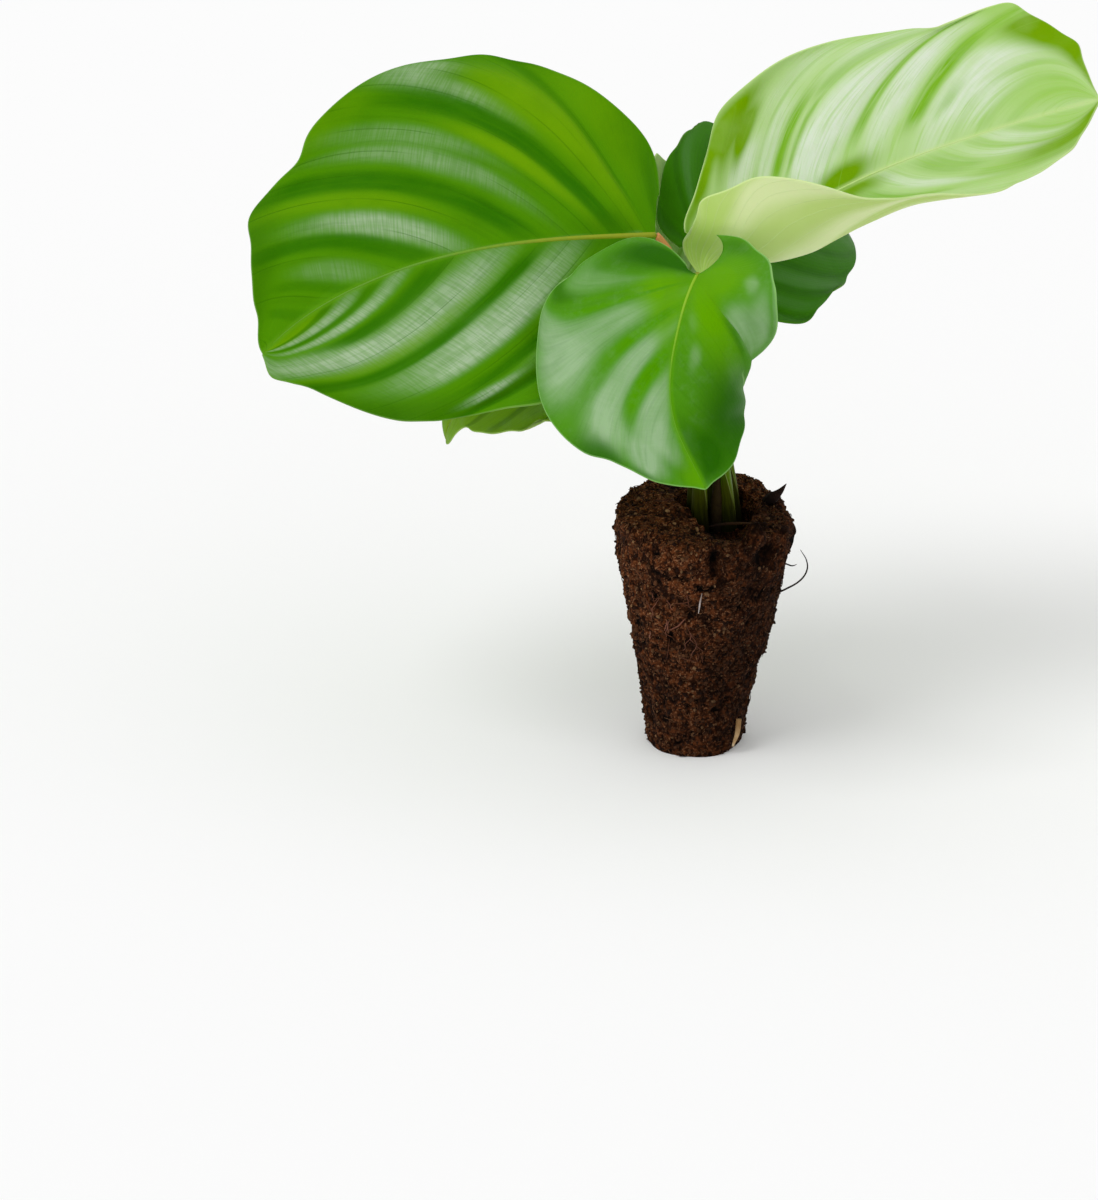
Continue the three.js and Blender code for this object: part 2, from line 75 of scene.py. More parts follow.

# Each blade has its imported shape, then small nudges of its outline, then the looks of each half. A half's
# bands are the dark stripes: the place of each between the base and the tip, its half width, its strength,
# and the shares of the way to the margin where it starts and ends. Silver, warm and shade are soft
# patches: place, share, their two half widths, and strength. The silver patches are the blade's silver
# bands with painted sheen and highlights on them, and the shade patches are painted shade together with
# the blade's own darker green. Slant bends all of them towards the tip.
LEAVES = {
    "left_leaf": {
        "base": [-7.4, 9, 90.6], "heading": 191, "climb": 2, "roll": -42, "length": 72.3, "centre": 34,
        "bend": [0, -4, -9, -13, -16, -22], "sway": [0, 0, 4, 12, 23, 40],
        "left": [38, 38, 36, 32, 31, 34, 33, 33, 34], "right": [38, 33, 33, 35, 38, 39, 39, 38, 34],
        "lift_left": [4, 6, 6, 4, 0], "curl_left": [-6, -10, -10, -8, -4], "lift_right": [4, 6, 6, 4, 0],
        "curl_right": [-6, -10, -10, -8, -4], "wave": 1,
        "nudges_left": [(0.65, 0.04, 0.4), (0.91, 0.03, 0.3), (0.94, 0.02, 1), (0.97, 0.022, 2.6)],
        "nudges_right": [(0.15, 0.06, 1.1), (0.36, 0.03, 0.6), (0.42, 0.035, 1.5), (0.52, 0.07, 0.7),
            (0.69, 0.03, -1.4), (0.79, 0.04, 1.9), (0.86, 0.04, 0.6), (0.955, 0.02, -0.5),
            (0.985, 0.02, 0.4)],
        "foot": [3, 2.6], "arrive": [-0.65, -0.23, 0.73], "width": 0.8, "grid": [230, 160], "quilt": 0.6,
        "rib": 0.62, "colours": "open", "joint": "#d6935a",
        "looks_left": {
            "slant": [0.14, 0.14],
            "bands": [(0.1, 0.05, 0.8, 0, 1.3), (0.33, 0.03, 0.7, 0, 0.9), (0.47, 0.025, 0.9, 0.1, 1.2),
                (0.6, 0.024, 0.9, 0, 0.75), (0.772, 0.014, 1, 0.02, 1.3), (0.876, 0.013, 1, 0.02, 0.62),
                (0.925, 0.006, 0.6, 0, 0.7), (0.958, 0.005, 0.6, 0, 0.8)],
            "silver_and_sheen": [(0.72, 0.38, 0.042, 0.36, 0.95), (0.685, 0.5, 0.02, 0.25, 0.6),
                (0.825, 0.35, 0.032, 0.33, 0.9), (0.845, 0.75, 0.035, 0.24, 0.85),
                (0.908, 0.35, 0.01, 0.35, 0.8), (0.942, 0.35, 0.01, 0.3, 0.7),
                (0.54, 0.74, 0.025, 0.12, 0.8), (0.53, 0.2, 0.05, 0.3, 0.5), (0.24, 0.5, 0.07, 0.4, 0.6)],
            "warm": [(0.97, 0.4, 0.02, 0.4, 0.6), (0.8, 0.6, 0.012, 0.4, 0.4)],
            "shade": [(0.62, 1, 0.13, 0.22, 1), (0.49, 0.75, 0.03, 0.2, 0.8), (0.78, 1, 0.02, 0.2, 0.5),
                (0.65, 0, 0.1, 0.06, 0.5)],
        },
        "looks_right": {
            "slant": [-0.02, -0.02],
            "bands": [(0.13, 0.06, 0.35, 0.1, 1.3), (0.42, 0.022, 0.45, 0.1, 1.1),
                (0.612, 0.026, 0.95, 0, 0.85), (0.782, 0.02, 0.95, 0, 1), (0.887, 0.013, 0.85, 0, 1.1),
                (0.943, 0.006, 0.5, 0, 0.8), (0.972, 0.005, 0.5, 0, 0.8)],
            "silver_and_sheen": [(0.58, 0.68, 0.022, 0.22, 0.5), (0.545, 0.88, 0.035, 0.13, 0.6),
                (0.69, 0.64, 0.018, 0.26, 0.3), (0.73, 0.5, 0.018, 0.32, 0.45),
                (0.858, 0.4, 0.018, 0.34, 0.9), (0.925, 0.35, 0.012, 0.3, 0.25)],
            "warm": [(0.5, 0.42, 0.07, 0.36, 1), (0.655, 0.32, 0.02, 0.24, 0.9),
                (0.82, 0.62, 0.018, 0.35, 0.6), (0.3, 0.6, 0.1, 0.4, 0.4), (0.65, 0.95, 0.05, 0.1, 0.3)],
            "shade": [(0.93, 1, 0.08, 0.16, 0.6), (0.82, 1, 0.05, 0.1, 0.5), (0.12, 0.35, 0.07, 0.3, 0.3),
                (0.4, 0.98, 0.03, 0.07, 0.7), (0.6, 0.03, 0.1, 0.05, 0.5)],
        },
    },
    "front_leaf": {
        "base": [-1.1, -18, 92], "heading": -92, "climb": -32, "roll": 12, "length": 37.6, "centre": 18,
        "bend": [0, -20, -32, -36, -36, -30], "sway": [-24, -20, -18, 0, 24, 24],
        "left": [19.6, 19.3, 19.1, 18.8, 17.4, 17, 23, 26.6, 27.2],
        "right": [19.6, 17, 15.3, 18.4, 23.9, 27.6, 28, 27.2, 20], "open_left": 178, "open_right": 172,
        "first_vein": 0, "hook": [2.4, -1.7, 0.06], "lift_left": [20, 18, 12, 8, 4, 0, -5, -8, -10],
        "curl_left": [0, -10, -65, -110, -115, -95, -75, -50, -40], "curl_right": [-10, -10], "wave": 0.2,
        "waves": 2,
        "nudges_left": [(0.12, 0.05, -1.3), (0.28, 0.035, 1.3), (0.43, 0.07, -3.2), (0.59, 0.055, -0.8),
            (0.81, 0.06, -0.8)],
        "nudges_right": [(0.15, 0.05, 0.5), (0.29, 0.025, -0.8), (0.69, 0.04, -0.4)],
        "foot": [0.5, -2], "arrive": [0, -0.6, 0.8], "width": 0.95, "grid": [190, 140], "quilt": 0.35,
        "rib": 0.36, "colours": "front",
        "looks_left": {
            "bands": [(0.8, 0.02, 0.25, 0, 0.6), (0.9, 0.015, 0.2, 0, 0.5)],
            "silver_and_sheen": [(0.266, 0.5, 0.035, 0.09, 0.75), (0.48, 0.36, 0.03, 0.05, 0.4),
                (0.43, 0.5, 0.08, 0.12, 0.7), (0.36, 0.7, 0.08, 0.15, 0.65),
                (0.775, 0.17, 0.035, 0.04, 0.45), (0.7, 0.09, 0.03, 0.035, 0.35),
                (0.67, 0.5, 0.05, 0.12, 0.25), (0.27, 0.95, 0.12, 0.08, 0.4)],
            "warm": [(0.4, 0.12, 0.3, 0.2, 1), (0.18, 0.3, 0.15, 0.3, 0.6), (0.65, 0.25, 0.1, 0.2, 0.4)],
            "shade": [(0.78, 0.75, 0.2, 0.42, 1), (0.95, 0.4, 0.05, 0.5, 0.7), (0.05, 0.7, 0.06, 0.2, 0.4),
                (0.55, 0.35, 0.06, 0.12, 0.5)],
        },
        "looks_right": {
            "slant": [-0.25, 0],
            "bands": [(0.51, 0.014, 0.9, 0.05, 0.62), (0.465, 0.01, 0.5, 0.15, 0.6),
                (0.68, 0.022, 1, 0.03, 0.52), (0.815, 0.028, 1, 0.03, 0.62), (0.93, 0.012, 0.4, 0, 0.4)],
            "silver_and_sheen": [(0.54, 0.82, 0.035, 0.2, 0.6), (0.93, 0.35, 0.03, 0.25, 0.5),
                (0.59, 0.45, 0.055, 0.45, 0.7), (0.62, 0.75, 0.05, 0.2, 0.7), (0.75, 0.45, 0.04, 0.4, 0.95),
                (0.765, 0.78, 0.06, 0.18, 0.8), (0.88, 0.42, 0.045, 0.5, 0.9), (0.87, 0.8, 0.05, 0.16, 0.6),
                (0.39, 0.5, 0.05, 0.3, 0.35)],
            "warm": [(0.55, 0.1, 0.25, 0.12, 0.9), (0.98, 0.5, 0.03, 0.6, 0.6)],
            "shade": [(0.17, 0.5, 0.13, 0.55, 1), (0.05, 0.5, 0.12, 0.7, 0.8),
                (0.455, 0.8, 0.025, 0.28, 0.7), (0.54, 1, 0.035, 0.08, 0.5), (0.76, 1, 0.06, 0.11, 1),
                (0.87, 1, 0.04, 0.08, 0.6)],
        },
    },
    "right_leaf": {
        "base": [0.2, 7, 83.8], "heading": 6, "climb": 37, "roll": 40, "length": 75.3, "centre": 37,
        "bend": [0, -4, -8, -14, -16, -18], "sway": [0, -4, -8, -12, -14, -16],
        "left": [38, 38.7, 28, 26.7, 28.5, 31, 37], "right": [38, 29.8, 21, 22, 35, 37, 37], "sweep": 3.2,
        "lift_left": [20, 10, 5, 0, 0], "curl_left": [20, 10, 0, -10, -10],
        "lift_right": [90, 20, -12, -8, 5, 16, 20, 20, 20],
        "curl_right": [70, 110, 140, 122, 84, 40, 20, 20, 10], "turn_right": 24, "wave": 0.8,
        "nudges_left": [(0.08, 0.03, 1.4), (0.27, 0.05, 1.2), (0.7, 0.03, -1.1), (0.78, 0.027, 2.3),
            (0.9, 0.02, 0.9)],
        "nudges_right": [(0.14, 0.03, -0.5), (0.27, 0.06, 3.2), (0.34, 0.04, 2.5), (0.42, 0.04, -2),
            (0.775, 0.03, -1.2), (0.875, 0.03, 0.9)],
        "foot": [5.4, -1], "arrive": [0.15, 0.2, 0.95], "width": 1.05, "grid": [230, 160], "quilt": 0.5,
        "rib": 0.4, "colours": "young", "joint": "#7fb028",
        "crinkles": [(0.7, 0.06, 0.05, 0.25), (0.8, 0.09, 0.03, 0.15)],
        "looks_left": {
            "slant": [-0.2, -0.2, -0.18, -0.12, -0.06, 0, 0.04, 0.08, -0.01, 0.06, 0.14], "lines": 30,
            "bands": [(0.545, 0.006, 0.35, 0.1, 0.9), (0.598, 0.012, 1, 0.12, 0.5),
                (0.627, 0.005, 0.8, 0.12, 0.5), (0.622, 0.014, 0.5, 0.45, 0.95),
                (0.738, 0.012, 0.85, 0.15, 1.3), (0.735, 0.018, 0.5, 0.75, 1.3),
                (0.815, 0.01, 1, 0.13, 1.3), (0.843, 0.008, 0.6, 0.16, 0.42),
                (0.872, 0.005, 0.3, 0.02, 0.8), (0.9, 0.007, 0.35, 0.02, 0.8), (0.928, 0.006, 0.3, 0, 0.8)],
            "silver_and_sheen": [(0.565, 0.3, 0.022, 0.2, 0.6), (0.68, 0.38, 0.042, 0.42, 1),
                (0.65, 0.2, 0.025, 0.12, 0.7), (0.775, 0.42, 0.022, 0.35, 0.9),
                (0.85, 0.42, 0.022, 0.42, 1), (0.885, 0.3, 0.02, 0.2, 0.8), (0.49, 0.28, 0.05, 0.12, 0.7),
                (0.53, 0.7, 0.04, 0.22, 0.3), (0.61, 0.85, 0.025, 0.25, 0.5)],
            "warm": [(0.4, 0.64, 0.06, 0.32, 1), (0.465, 0.45, 0.025, 0.15, 0.9),
                (0.27, 0.7, 0.09, 0.32, 1), (0.84, 0.93, 0.03, 0.17, 1), (0.735, 0.04, 0.045, 0.06, 1)],
            "shade": [(0.83, 0.78, 0.03, 0.15, 0.6), (0.93, 0.5, 0.05, 0.4, 0.7),
                (0.6, 0.95, 0.1, 0.12, 0.3), (0.78, 0.95, 0.04, 0.12, 0.7)],
        },
        "looks_right": {
            "slant": [0.1, 0.1], "lines": 30,
            "bands": [(0.2, 0.03, 0.5, 0, 1.2), (0.4, 0.03, 0.5, 0, 1.2), (0.6, 0.02, 0.6, 0, 1.2),
                (0.748, 0.013, 0.8, 0.06, 0.5), (0.838, 0.022, 0.6, 0.03, 0.36),
                (0.81, 0.016, 0.4, 0.4, 1.2), (0.89, 0.008, 0.3, 0, 0.8), (0.93, 0.01, 0.3, 0, 0.8)],
            "silver_and_sheen": [(0.79, 0.28, 0.013, 0.3, 0.8), (0.872, 0.5, 0.012, 0.35, 0.6),
                (0.91, 0.3, 0.015, 0.3, 0.5)],
            "warm": [(0.735, 0.03, 0.05, 0.07, 1), (0.865, 0.94, 0.08, 0.42, 1)],
            "shade": [(0.8, 0.6, 0.06, 0.3, 0.4), (0.96, 0.4, 0.03, 0.4, 0.5)],
        },
    },
    "back_leaf": {
        "base": [1.3, 14, 83.7], "heading": 38, "climb": 12, "roll": 42, "length": 43, "centre": 19,
        "bend": [0, -10, -18, -26, -34, -42], "left": [24, 23, 23, 25, 24, 22, 19],
        "right": [24, 19, 16, 17, 20, 21, 19],
        "nudges_left": [(0.13, 0.08, 2.6), (0.4, 0.05, -0.9), (0.49, 0.03, -0.4), (0.55, 0.04, 1.3)],
        "nudges_right": [(0.54, 0.14, -2.4), (0.44, 0.05, -0.7), (0.77, 0.06, -1), (0.97, 0.06, 2)],
        "foot": [6.8, 3.8], "arrive": [0.5, 0.4, 0.76], "width": 0.75, "grid": [140, 100], "quilt": 0.18,
        "rib": 0.42, "colours": "deep",
        "looks_right": {
            "slant": [0.05, 0.05],
            "bands": [(0.12, 0.04, 0.7, 0, 1.2), (0.36, 0.03, 0.7, 0, 1), (0.58, 0.03, 0.8, 0, 1),
                (0.74, 0.022, 0.8, 0, 1), (0.85, 0.015, 0.8, 0, 1), (0.94, 0.012, 0.5, 0, 1)],
            "silver_and_sheen": [(0.65, 0.5, 0.05, 0.4, 0.2), (0.47, 0.5, 0.05, 0.4, 0.15)],
        },
    },
    "low_leaf": {
        "base": [-7, 6, 73], "heading": 184, "climb": 0, "roll": -30, "length": 46, "centre": 18,
        "bend": [0, -14, -26, -34, -46, -90], "sway": [0, 0, 0, 4, 12, 30],
        "left": [28, 16, 16, 16, 16, 17, 18], "right": [28, 15, 15, 16, 16, 17, 18], "wave": 0,
        "nudges_left": [(0.5, 0.06, -3), (0.61, 0.05, -2.3), (0.82, 0.075, 2.75), (0.945, 0.03, -1.9),
            (1, 0.02, 1.4)],
        "foot": [-0.7, 2.1], "arrive": [-0.8, 0, 0.6], "width": 0.7, "grid": [130, 80], "quilt": 0.2,
        "rib": 0.4, "colours": "olive",
        "looks_right": {
            "slant": [0.08, 0.08],
            "bands": [(0.15, 0.04, 0.7, 0, 1), (0.4, 0.03, 0.7, 0, 1), (0.6, 0.025, 0.8, 0, 1),
                (0.76, 0.02, 0.8, 0, 1), (0.88, 0.014, 0.7, 0, 1)],
            "silver_and_sheen": [(0.68, 0.5, 0.04, 0.3, 0.2)],
            "warm": [(0.45, 0.8, 0.12, 0.3, 0.8)],
        },
    },
    "spear_leaf": {
        "base": [-1.5, 26, 73.6], "heading": 120, "climb": 70, "roll": 0, "length": 26, "centre": 12,
        "bend": [0, 2, 4, 6, 8, 10], "sway": [10, 10, 10, 0, 0, 0],
        "left": [14, 10, 7.2, 6.5, 7.5, 9.6, 12], "right": [14, 10, 7.2, 6.5, 7.5, 9.6, 12],
        "lift_left": [30, 20, 10, 0, 0], "curl_left": [80, 70, 60, 40, 20],
        "lift_right": [30, 20, 10, 0, 0], "curl_right": [80, 70, 60, 40, 20], "wave": 0.2, "waves": 2,
        "foot": [3.6, 5.8], "arrive": [-0.2, 0.3, 0.93], "width": 0.6, "grid": [90, 70], "quilt": 0.2,
        "rib": 0.3, "colours": "young", "joint": "#7fb028",
        "looks_right": {
            "slant": [0.05, 0.05],
            "bands": [(0.15, 0.04, 0.6, 0, 1), (0.4, 0.03, 0.6, 0, 1), (0.6, 0.025, 0.7, 0, 1),
                (0.76, 0.02, 0.7, 0, 1), (0.88, 0.014, 0.6, 0, 1)],
            "silver_and_sheen": [(0.5, 0.5, 0.3, 0.5, 0.3)],
        },
    },
}

# The colours of each kind of blade, in the order of the kinds: the dark stripes, the light ones, the warm
# patches, the silver bands with their painted sheen, the deep green of the shade patches, which are painted
# shade with some of the blade's own darker green, and of the fine dark lines, the thin margin, partly a
# painted highlight, the underside, its stripes and its base, and the midrib at its base and further on.
# Hatch, threads, grain and mottle are the strengths of the fine lines across the veins, of the lines and
# the streaks along them, and of the small pale clouds.
BLADE_KINDS = ["open", "front", "young", "deep", "olive"]
COLOURS = {
    "dark": ["#2c6c00", "#4c9000", "#76ac20", "#2a6400", "#4a7604"],
    "light": ["#4a8602", "#4a8a14", "#b2d08a", "#347200", "#72a012"],
    "warm": ["#689a02", "#5c9a00", "#6f9c00", "#4a8602", "#7ea412"],
    "silver_and_sheen": ["#a0b794", "#93b286", "#d8e1d0", "#7fa878", "#8faf7c"],
    "shade": ["#2e6400", "#1e5a00", "#94c24c", "#1e5200", "#386000"],
    "margin": ["#7ca24c", "#93c670", "#cfe4a0", "#4a7a20", "#b0c878"],
    "under": ["#8fae68", "#93b46c", "#d9e6aa", "#658f40", "#8aa856"],
    "under_dark": ["#6a9440", "#6a9640", "#bcd47c", "#477a28", "#6a8c38"],
    "under_base": ["#8fae68", "#93b46c", "#b8dc60", "#658f40", "#8aa856"],
    "rib_base": ["#909c0e", "#86b40c", "#9ccb34", "#7f9a30", "#8f9c30"],
    "rib_end": ["#5f961a", "#5c9c02", "#c4dc90", "#6f9a28", "#7c9a24"],
    "hatch": [0.34, 0.05, 0.06, 0.1, 0.1],
    "threads": [0.45, 0.07, 0.22, 0.12, 0.12],
    "grain": [0.16, 0.12, 0.4, 0.1, 0.2],
    "mottle": [0, 0.12, 0, 0, 0.1],
}


def rgb(text):
    """Linear colour from a hexadecimal screen colour."""
    screen = [int(text[k:k + 2], 16) / 255 for k in (1, 3, 5)]
    linear = [c / 12.92 if c <= 0.04045 else ((c + 0.055) / 1.055) ** 2.4 for c in screen]
    return (*linear, 1.0)


def smooth(values, u):
    """Smooth value at u, from 0 to 1, through evenly spaced values."""
    values = np.asarray(values, float)
    last = len(values) - 1
    at = np.clip(np.asarray(u, float), 0, 1) * last
    i = np.minimum(at.astype(int), last - 1)
    f = at - i
    longer = np.concatenate([[2 * values[0] - values[1]], values, [2 * values[-1] - values[-2]]])
    a, b, c, d = (longer[i + k] for k in range(4))
    square = (2 * a - 5 * b + 4 * c - d) * f * f
    cube = (3 * b - a - 3 * c + d) * f ** 3
    return 0.5 * (2 * b + (c - a) * f + square + cube)


def ease(low, high, x):
    """Smooth step from 0 at low to 1 at high."""
    t = np.clip((x - low) / (high - low), 0, 1)
    return t * t * (3 - 2 * t)


def unit(v):
    return v / np.maximum(np.linalg.norm(v, axis=-1, keepdims=True), 1e-9)


def lattice(i, j, k, seed):
    """Repeatable value from 0 to 1 for each whole-number place."""
    h = (i * 374761393 + j * 668265263 + k * 1274126177 + seed * 974634777) & 0xFFFFFFFF
    h = ((h ^ (h >> 13)) * 1103515245) & 0xFFFFFFFF
    h = h ^ (h >> 16)
    return (h & 0xFFFF) / 65535.0


def noise3(points, size, seed):
    """Smooth value noise from -1 to 1, with features of about the given size."""
    p = np.asarray(points, float) / size
    cell = np.floor(p).astype(np.int64)
    f = p - cell
    f = f * f * (3 - 2 * f)
    total = 0
    for corner in np.ndindex(2, 2, 2):
        weight = np.prod(np.abs(1 - np.array(corner) - f), axis=-1)
        total = total + weight * lattice(*np.moveaxis(cell + corner, -1, 0), seed)
    return 2 * total - 1


def layered(points, size, seed, layers=3, gain=0.5):
    """Noise with finer noise on top of it."""
    return sum(gain ** k * noise3(points, size / 2 ** k, seed + 31 * k) for k in range(layers))


class Graph:
    """A material's nodes, made by short calls. An input that is a socket is linked, any other is set."""

    def __init__(self, name):
        self.material = bpy.data.materials.new(name)
        self.material.use_nodes = True
        self.tree = self.material.node_tree

    def put(self, socket, value):
        if isinstance(value, bpy.types.NodeSocket):
            self.tree.links.new(value, socket)
        else:
            socket.default_value = rgb(value) if isinstance(value, str) else value

    def add(self, kind, output, inputs, **settings):
        node = self.tree.nodes.new(kind)
        for key, value in settings.items():
            setattr(node, key, value)
        for key, value in inputs.items():
            self.put(node.inputs[key], value)
        return node.outputs[output]

    def attribute(self, name):
        return self.add("ShaderNodeAttribute", "Fac", {}, attribute_name=name)

    def place(self):
        return self.add("ShaderNodeTexCoord", "Object", {})

    def math(self, operation, a, b=0.0, c=0.0, clamp=False):
        return self.add("ShaderNodeMath", 0, {0: a, 1: b, 2: c}, operation=operation, use_clamp=clamp)

    def times(self, a, b, clamp=False):
        return self.math("MULTIPLY", a, b, clamp=clamp)

    def times_plus(self, a, b, c, clamp=False):
        return self.math("MULTIPLY_ADD", a, b, c, clamp)

    def step(self, x, low, high, start=0.0, end=1.0):
        inputs = {"Value": x, "From Min": low, "From Max": high, "To Min": start, "To Max": end}
        return self.add("ShaderNodeMapRange", 0, inputs, interpolation_type="SMOOTHSTEP")

    def mix(self, share, a, b):
        return self.add("ShaderNodeMix", 2, {0: share, 6: a, 7: b}, data_type="RGBA", clamp_factor=True)

    def noise(self, where, scale, detail=2.0, roughness=0.5):
        inputs = {"Vector": where, "Scale": scale, "Detail": detail, "Roughness": roughness}
        return self.add("ShaderNodeTexNoise", 0, inputs)

    def flow(self, x, x_scale, y, y_scale, detail):
        """Noise over two values, each with its own scale."""
        where = self.add("ShaderNodeCombineXYZ", 0, {0: self.times(x, x_scale), 1: self.times(y, y_scale)})
        return self.noise(where, 1.0, detail)

    def bump(self, height, distance):
        return self.add("ShaderNodeBump", 0, {"Height": height, "Distance": distance})

    def finish(self, **inputs):
        shader = self.tree.nodes["Principled BSDF"]
        for key, value in inputs.items():
            self.put(shader.inputs[key.replace("_", " ")], value)
        return self.material


def make_object(name, points, faces, materials, replaced, attributes, indices=None):
    """A mesh object from points in millimetres, riding on the plant and what it replaces."""
    mesh = bpy.data.meshes.new(name)
    mesh.from_pydata((np.asarray(points) * MM).tolist(), [], faces)
    for material in materials:
        mesh.materials.append(material)
    if indices is not None:
        mesh.polygons.foreach_set("material_index", np.asarray(indices, np.int32))
    for key, values in attributes.items():
        layer = mesh.attributes.new(key, "FLOAT", "POINT")
        layer.data.foreach_set("value", np.asarray(values, np.float32).ravel())
    mesh.polygons.foreach_set("use_smooth", np.ones(len(mesh.polygons), bool))
    mesh.validate()
    mesh.update()
    item = bpy.data.objects.new(name, mesh)
    bpy.context.scene.collection.objects.link(item)
    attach(item, "root")
    if replaced:
        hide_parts(*replaced)


def midrib_frames(leaf):
    """The midrib's points and its forward, side and upward directions, at even steps."""
    heading, climb, roll = np.radians([leaf["heading"], leaf["climb"], leaf["roll"]])
    forward = np.array([np.cos(heading) * np.cos(climb), np.sin(heading) * np.cos(climb), np.sin(climb)])
    level = unit(np.cross([0, 0, 1], forward))
    raised = np.cross(forward, level)
    side = np.cos(roll) * level + np.sin(roll) * raised
    up = np.cos(roll) * raised - np.sin(roll) * level
    u = np.linspace(0, 1, MIDRIB_STEPS + 1)
    bend = np.radians(smooth(leaf["bend"], u))[:, None]
    sway = np.radians(smooth(leaf["sway"], u))[:, None]
    turned = np.cos(sway) * forward + np.sin(sway) * side
    along = np.cos(bend) * turned + np.sin(bend) * up
    normal = np.cos(bend) * up - np.sin(bend) * turned
    across = np.cross(normal, along)
    point = np.zeros((MIDRIB_STEPS + 1, 3))
    point[1:] = np.cumsum((along[:-1] + along[1:]) / 2 * leaf["length"] / MIDRIB_STEPS, axis=0)
    return point + np.array(leaf["base"], float), along, across, normal


def nudged(leaf, vein, is_left):
    """How far the margin is pushed out by its nudges: each has its vein, half width and distance."""
    pushed = []
    for key in ("nudges_left", "nudges_right"):
        total = TIP_REACH * np.exp(-((1 - vein) / TIP_WIDTH) ** 2)
        for at, wide, out in leaf[key]:
            total += out * np.exp(-((vein - at) / wide) ** 2)
        pushed.append(total)
    return np.where(is_left, *pushed)


def vein_angle(leaf, vein, is_left):
    """The direction from the flat outline's centre in which a vein ends, in radians from the tip's."""
    return np.radians((1 - vein) * np.where(is_left, leaf["open_left"], leaf["open_right"]))


def either(leaf, key, is_left, x):
    """The smooth value at x from the list of the half that each point is in."""
    return np.where(is_left, smooth(leaf[key + "left"], x), smooth(leaf[key + "right"], x))


def outline_point(leaf, vein, is_left):
    """Where a vein ends on the flat outline: along and across the midrib."""
    reach = either(leaf, "", is_left, 1 - vein)
    angle = vein_angle(leaf, vein, is_left)
    return leaf["centre"] + reach * np.cos(angle), reach * np.sin(angle)


def flat_point(leaf, vein, share):
    """A point of the flat blade, on the bow of one vein, at a share of the way to its end."""
    is_left = share >= 0
    start = leaf["length"] * vein ** leaf["sweep"]
    end_x, end_y = outline_point(leaf, vein, is_left)
    ahead = outline_point(leaf, np.minimum(vein + VEIN_STEP, 1), is_left)
    behind = outline_point(leaf, np.maximum(vein - VEIN_STEP, 0), is_left)
    edge_x, edge_y = ahead[0] - behind[0], ahead[1] - behind[1]
    size = np.hypot(edge_x, edge_y)
    out_x, out_y = -edge_y / size, edge_x / size
    last = (end_x - start) / 2
    lacking = np.maximum(VEIN_SLANT * np.abs(last) - out_x * last, 0)
    bow_x, bow_y = end_x - last - out_x * lacking, end_y - out_y * lacking
    t = np.abs(share)
    along = (1 - t) ** 2 * start + 2 * t * (1 - t) * bow_x + t * t * end_x
    across = 2 * t * (1 - t) * bow_y + t * t * end_y
    angle = vein_angle(leaf, vein, is_left)
    out = nudged(leaf, vein, is_left) * t ** 3
    hollow, tip, reach = leaf["hook"]
    hooked = (hollow * 4 * t * (1 - t) + tip * t ** 3) * np.exp(-(vein / reach) ** 2)
    return along + out * np.cos(angle), across + out * np.sin(angle) + np.where(is_left, hooked, 0)


def blade_points(leaf, frames, vein, share):
    """The blade's middle surface in space."""
    is_left = share >= 0
    along, across = flat_point(leaf, vein, share)
    u = np.clip(along / leaf["length"], 0, 1)
    i = np.minimum((u * MIDRIB_STEPS).astype(int), MIDRIB_STEPS - 1)
    f = (u * MIDRIB_STEPS - i)[..., None]
    point, forward, side, normal = (a[i] * (1 - f) + a[i + 1] * f for a in frames)
    lift = np.radians(either(leaf, "lift_", is_left, u))
    turn = np.where(is_left, leaf["centre"], leaf.get("turn_right", leaf["centre"]))
    curl = np.radians(either(leaf, "curl_", is_left, u)) / turn
    curl = np.where(np.abs(curl) < 1e-6, 1e-6, curl)
    near = np.minimum(across, turn)
    slope = lift + curl * near
    phase = leaf["waves"] * vein + 0.1 + np.where(is_left, 0, 0.4)
    fade = np.clip(2.5 * np.sin(np.pi * vein), 0, 1)
    ripple = leaf["wave"] * share ** 2 * fade * np.sin(2 * np.pi * phase)
    sideways = ((np.sin(slope) - np.sin(lift)) / curl + (across - near) * np.cos(slope)
                - np.sin(slope) * ripple)
    upward = ((np.cos(lift) - np.cos(slope)) / curl + (across - near) * np.sin(slope)
              + np.cos(slope) * ripple)
    sideways = np.where(is_left, sideways, -sideways)
    beyond = along - u * leaf["length"]
    return point + beyond[..., None] * forward + sideways[..., None] * side + upward[..., None] * normal


def grid_normals(points):
    """Upward unit normals of a grid whose rows run from base to tip and columns from right to left."""
    normals = unit(np.cross(np.gradient(points, axis=0), np.gradient(points, axis=1)))
    normals[-4:] = normals[-5]
    return normals


def margin_distance(points, edge):
    """Distance of each point from the broken line along a margin."""
    nearest = np.full(points.shape[:2], np.inf)
    for a, b in zip(edge[:-1], edge[1:]):
        step = b - a
        t = np.clip((points - a) @ step / max(step @ step, 1e-9), 0, 1)
        nearest = np.minimum(nearest, np.linalg.norm(points - a - t[..., None] * step, axis=-1))
    return nearest


def patches(listed, place, share):
    """The sum of soft flat-topped patches, at most 1."""
    total = np.zeros_like(place)
    for at, reach, wide, long, strength in listed:
        square = ((place - at) / wide) ** 2 + ((share - reach) / long) ** 2
        total += strength * np.exp(-square ** 1.6)
    return np.clip(total, 0, 1)


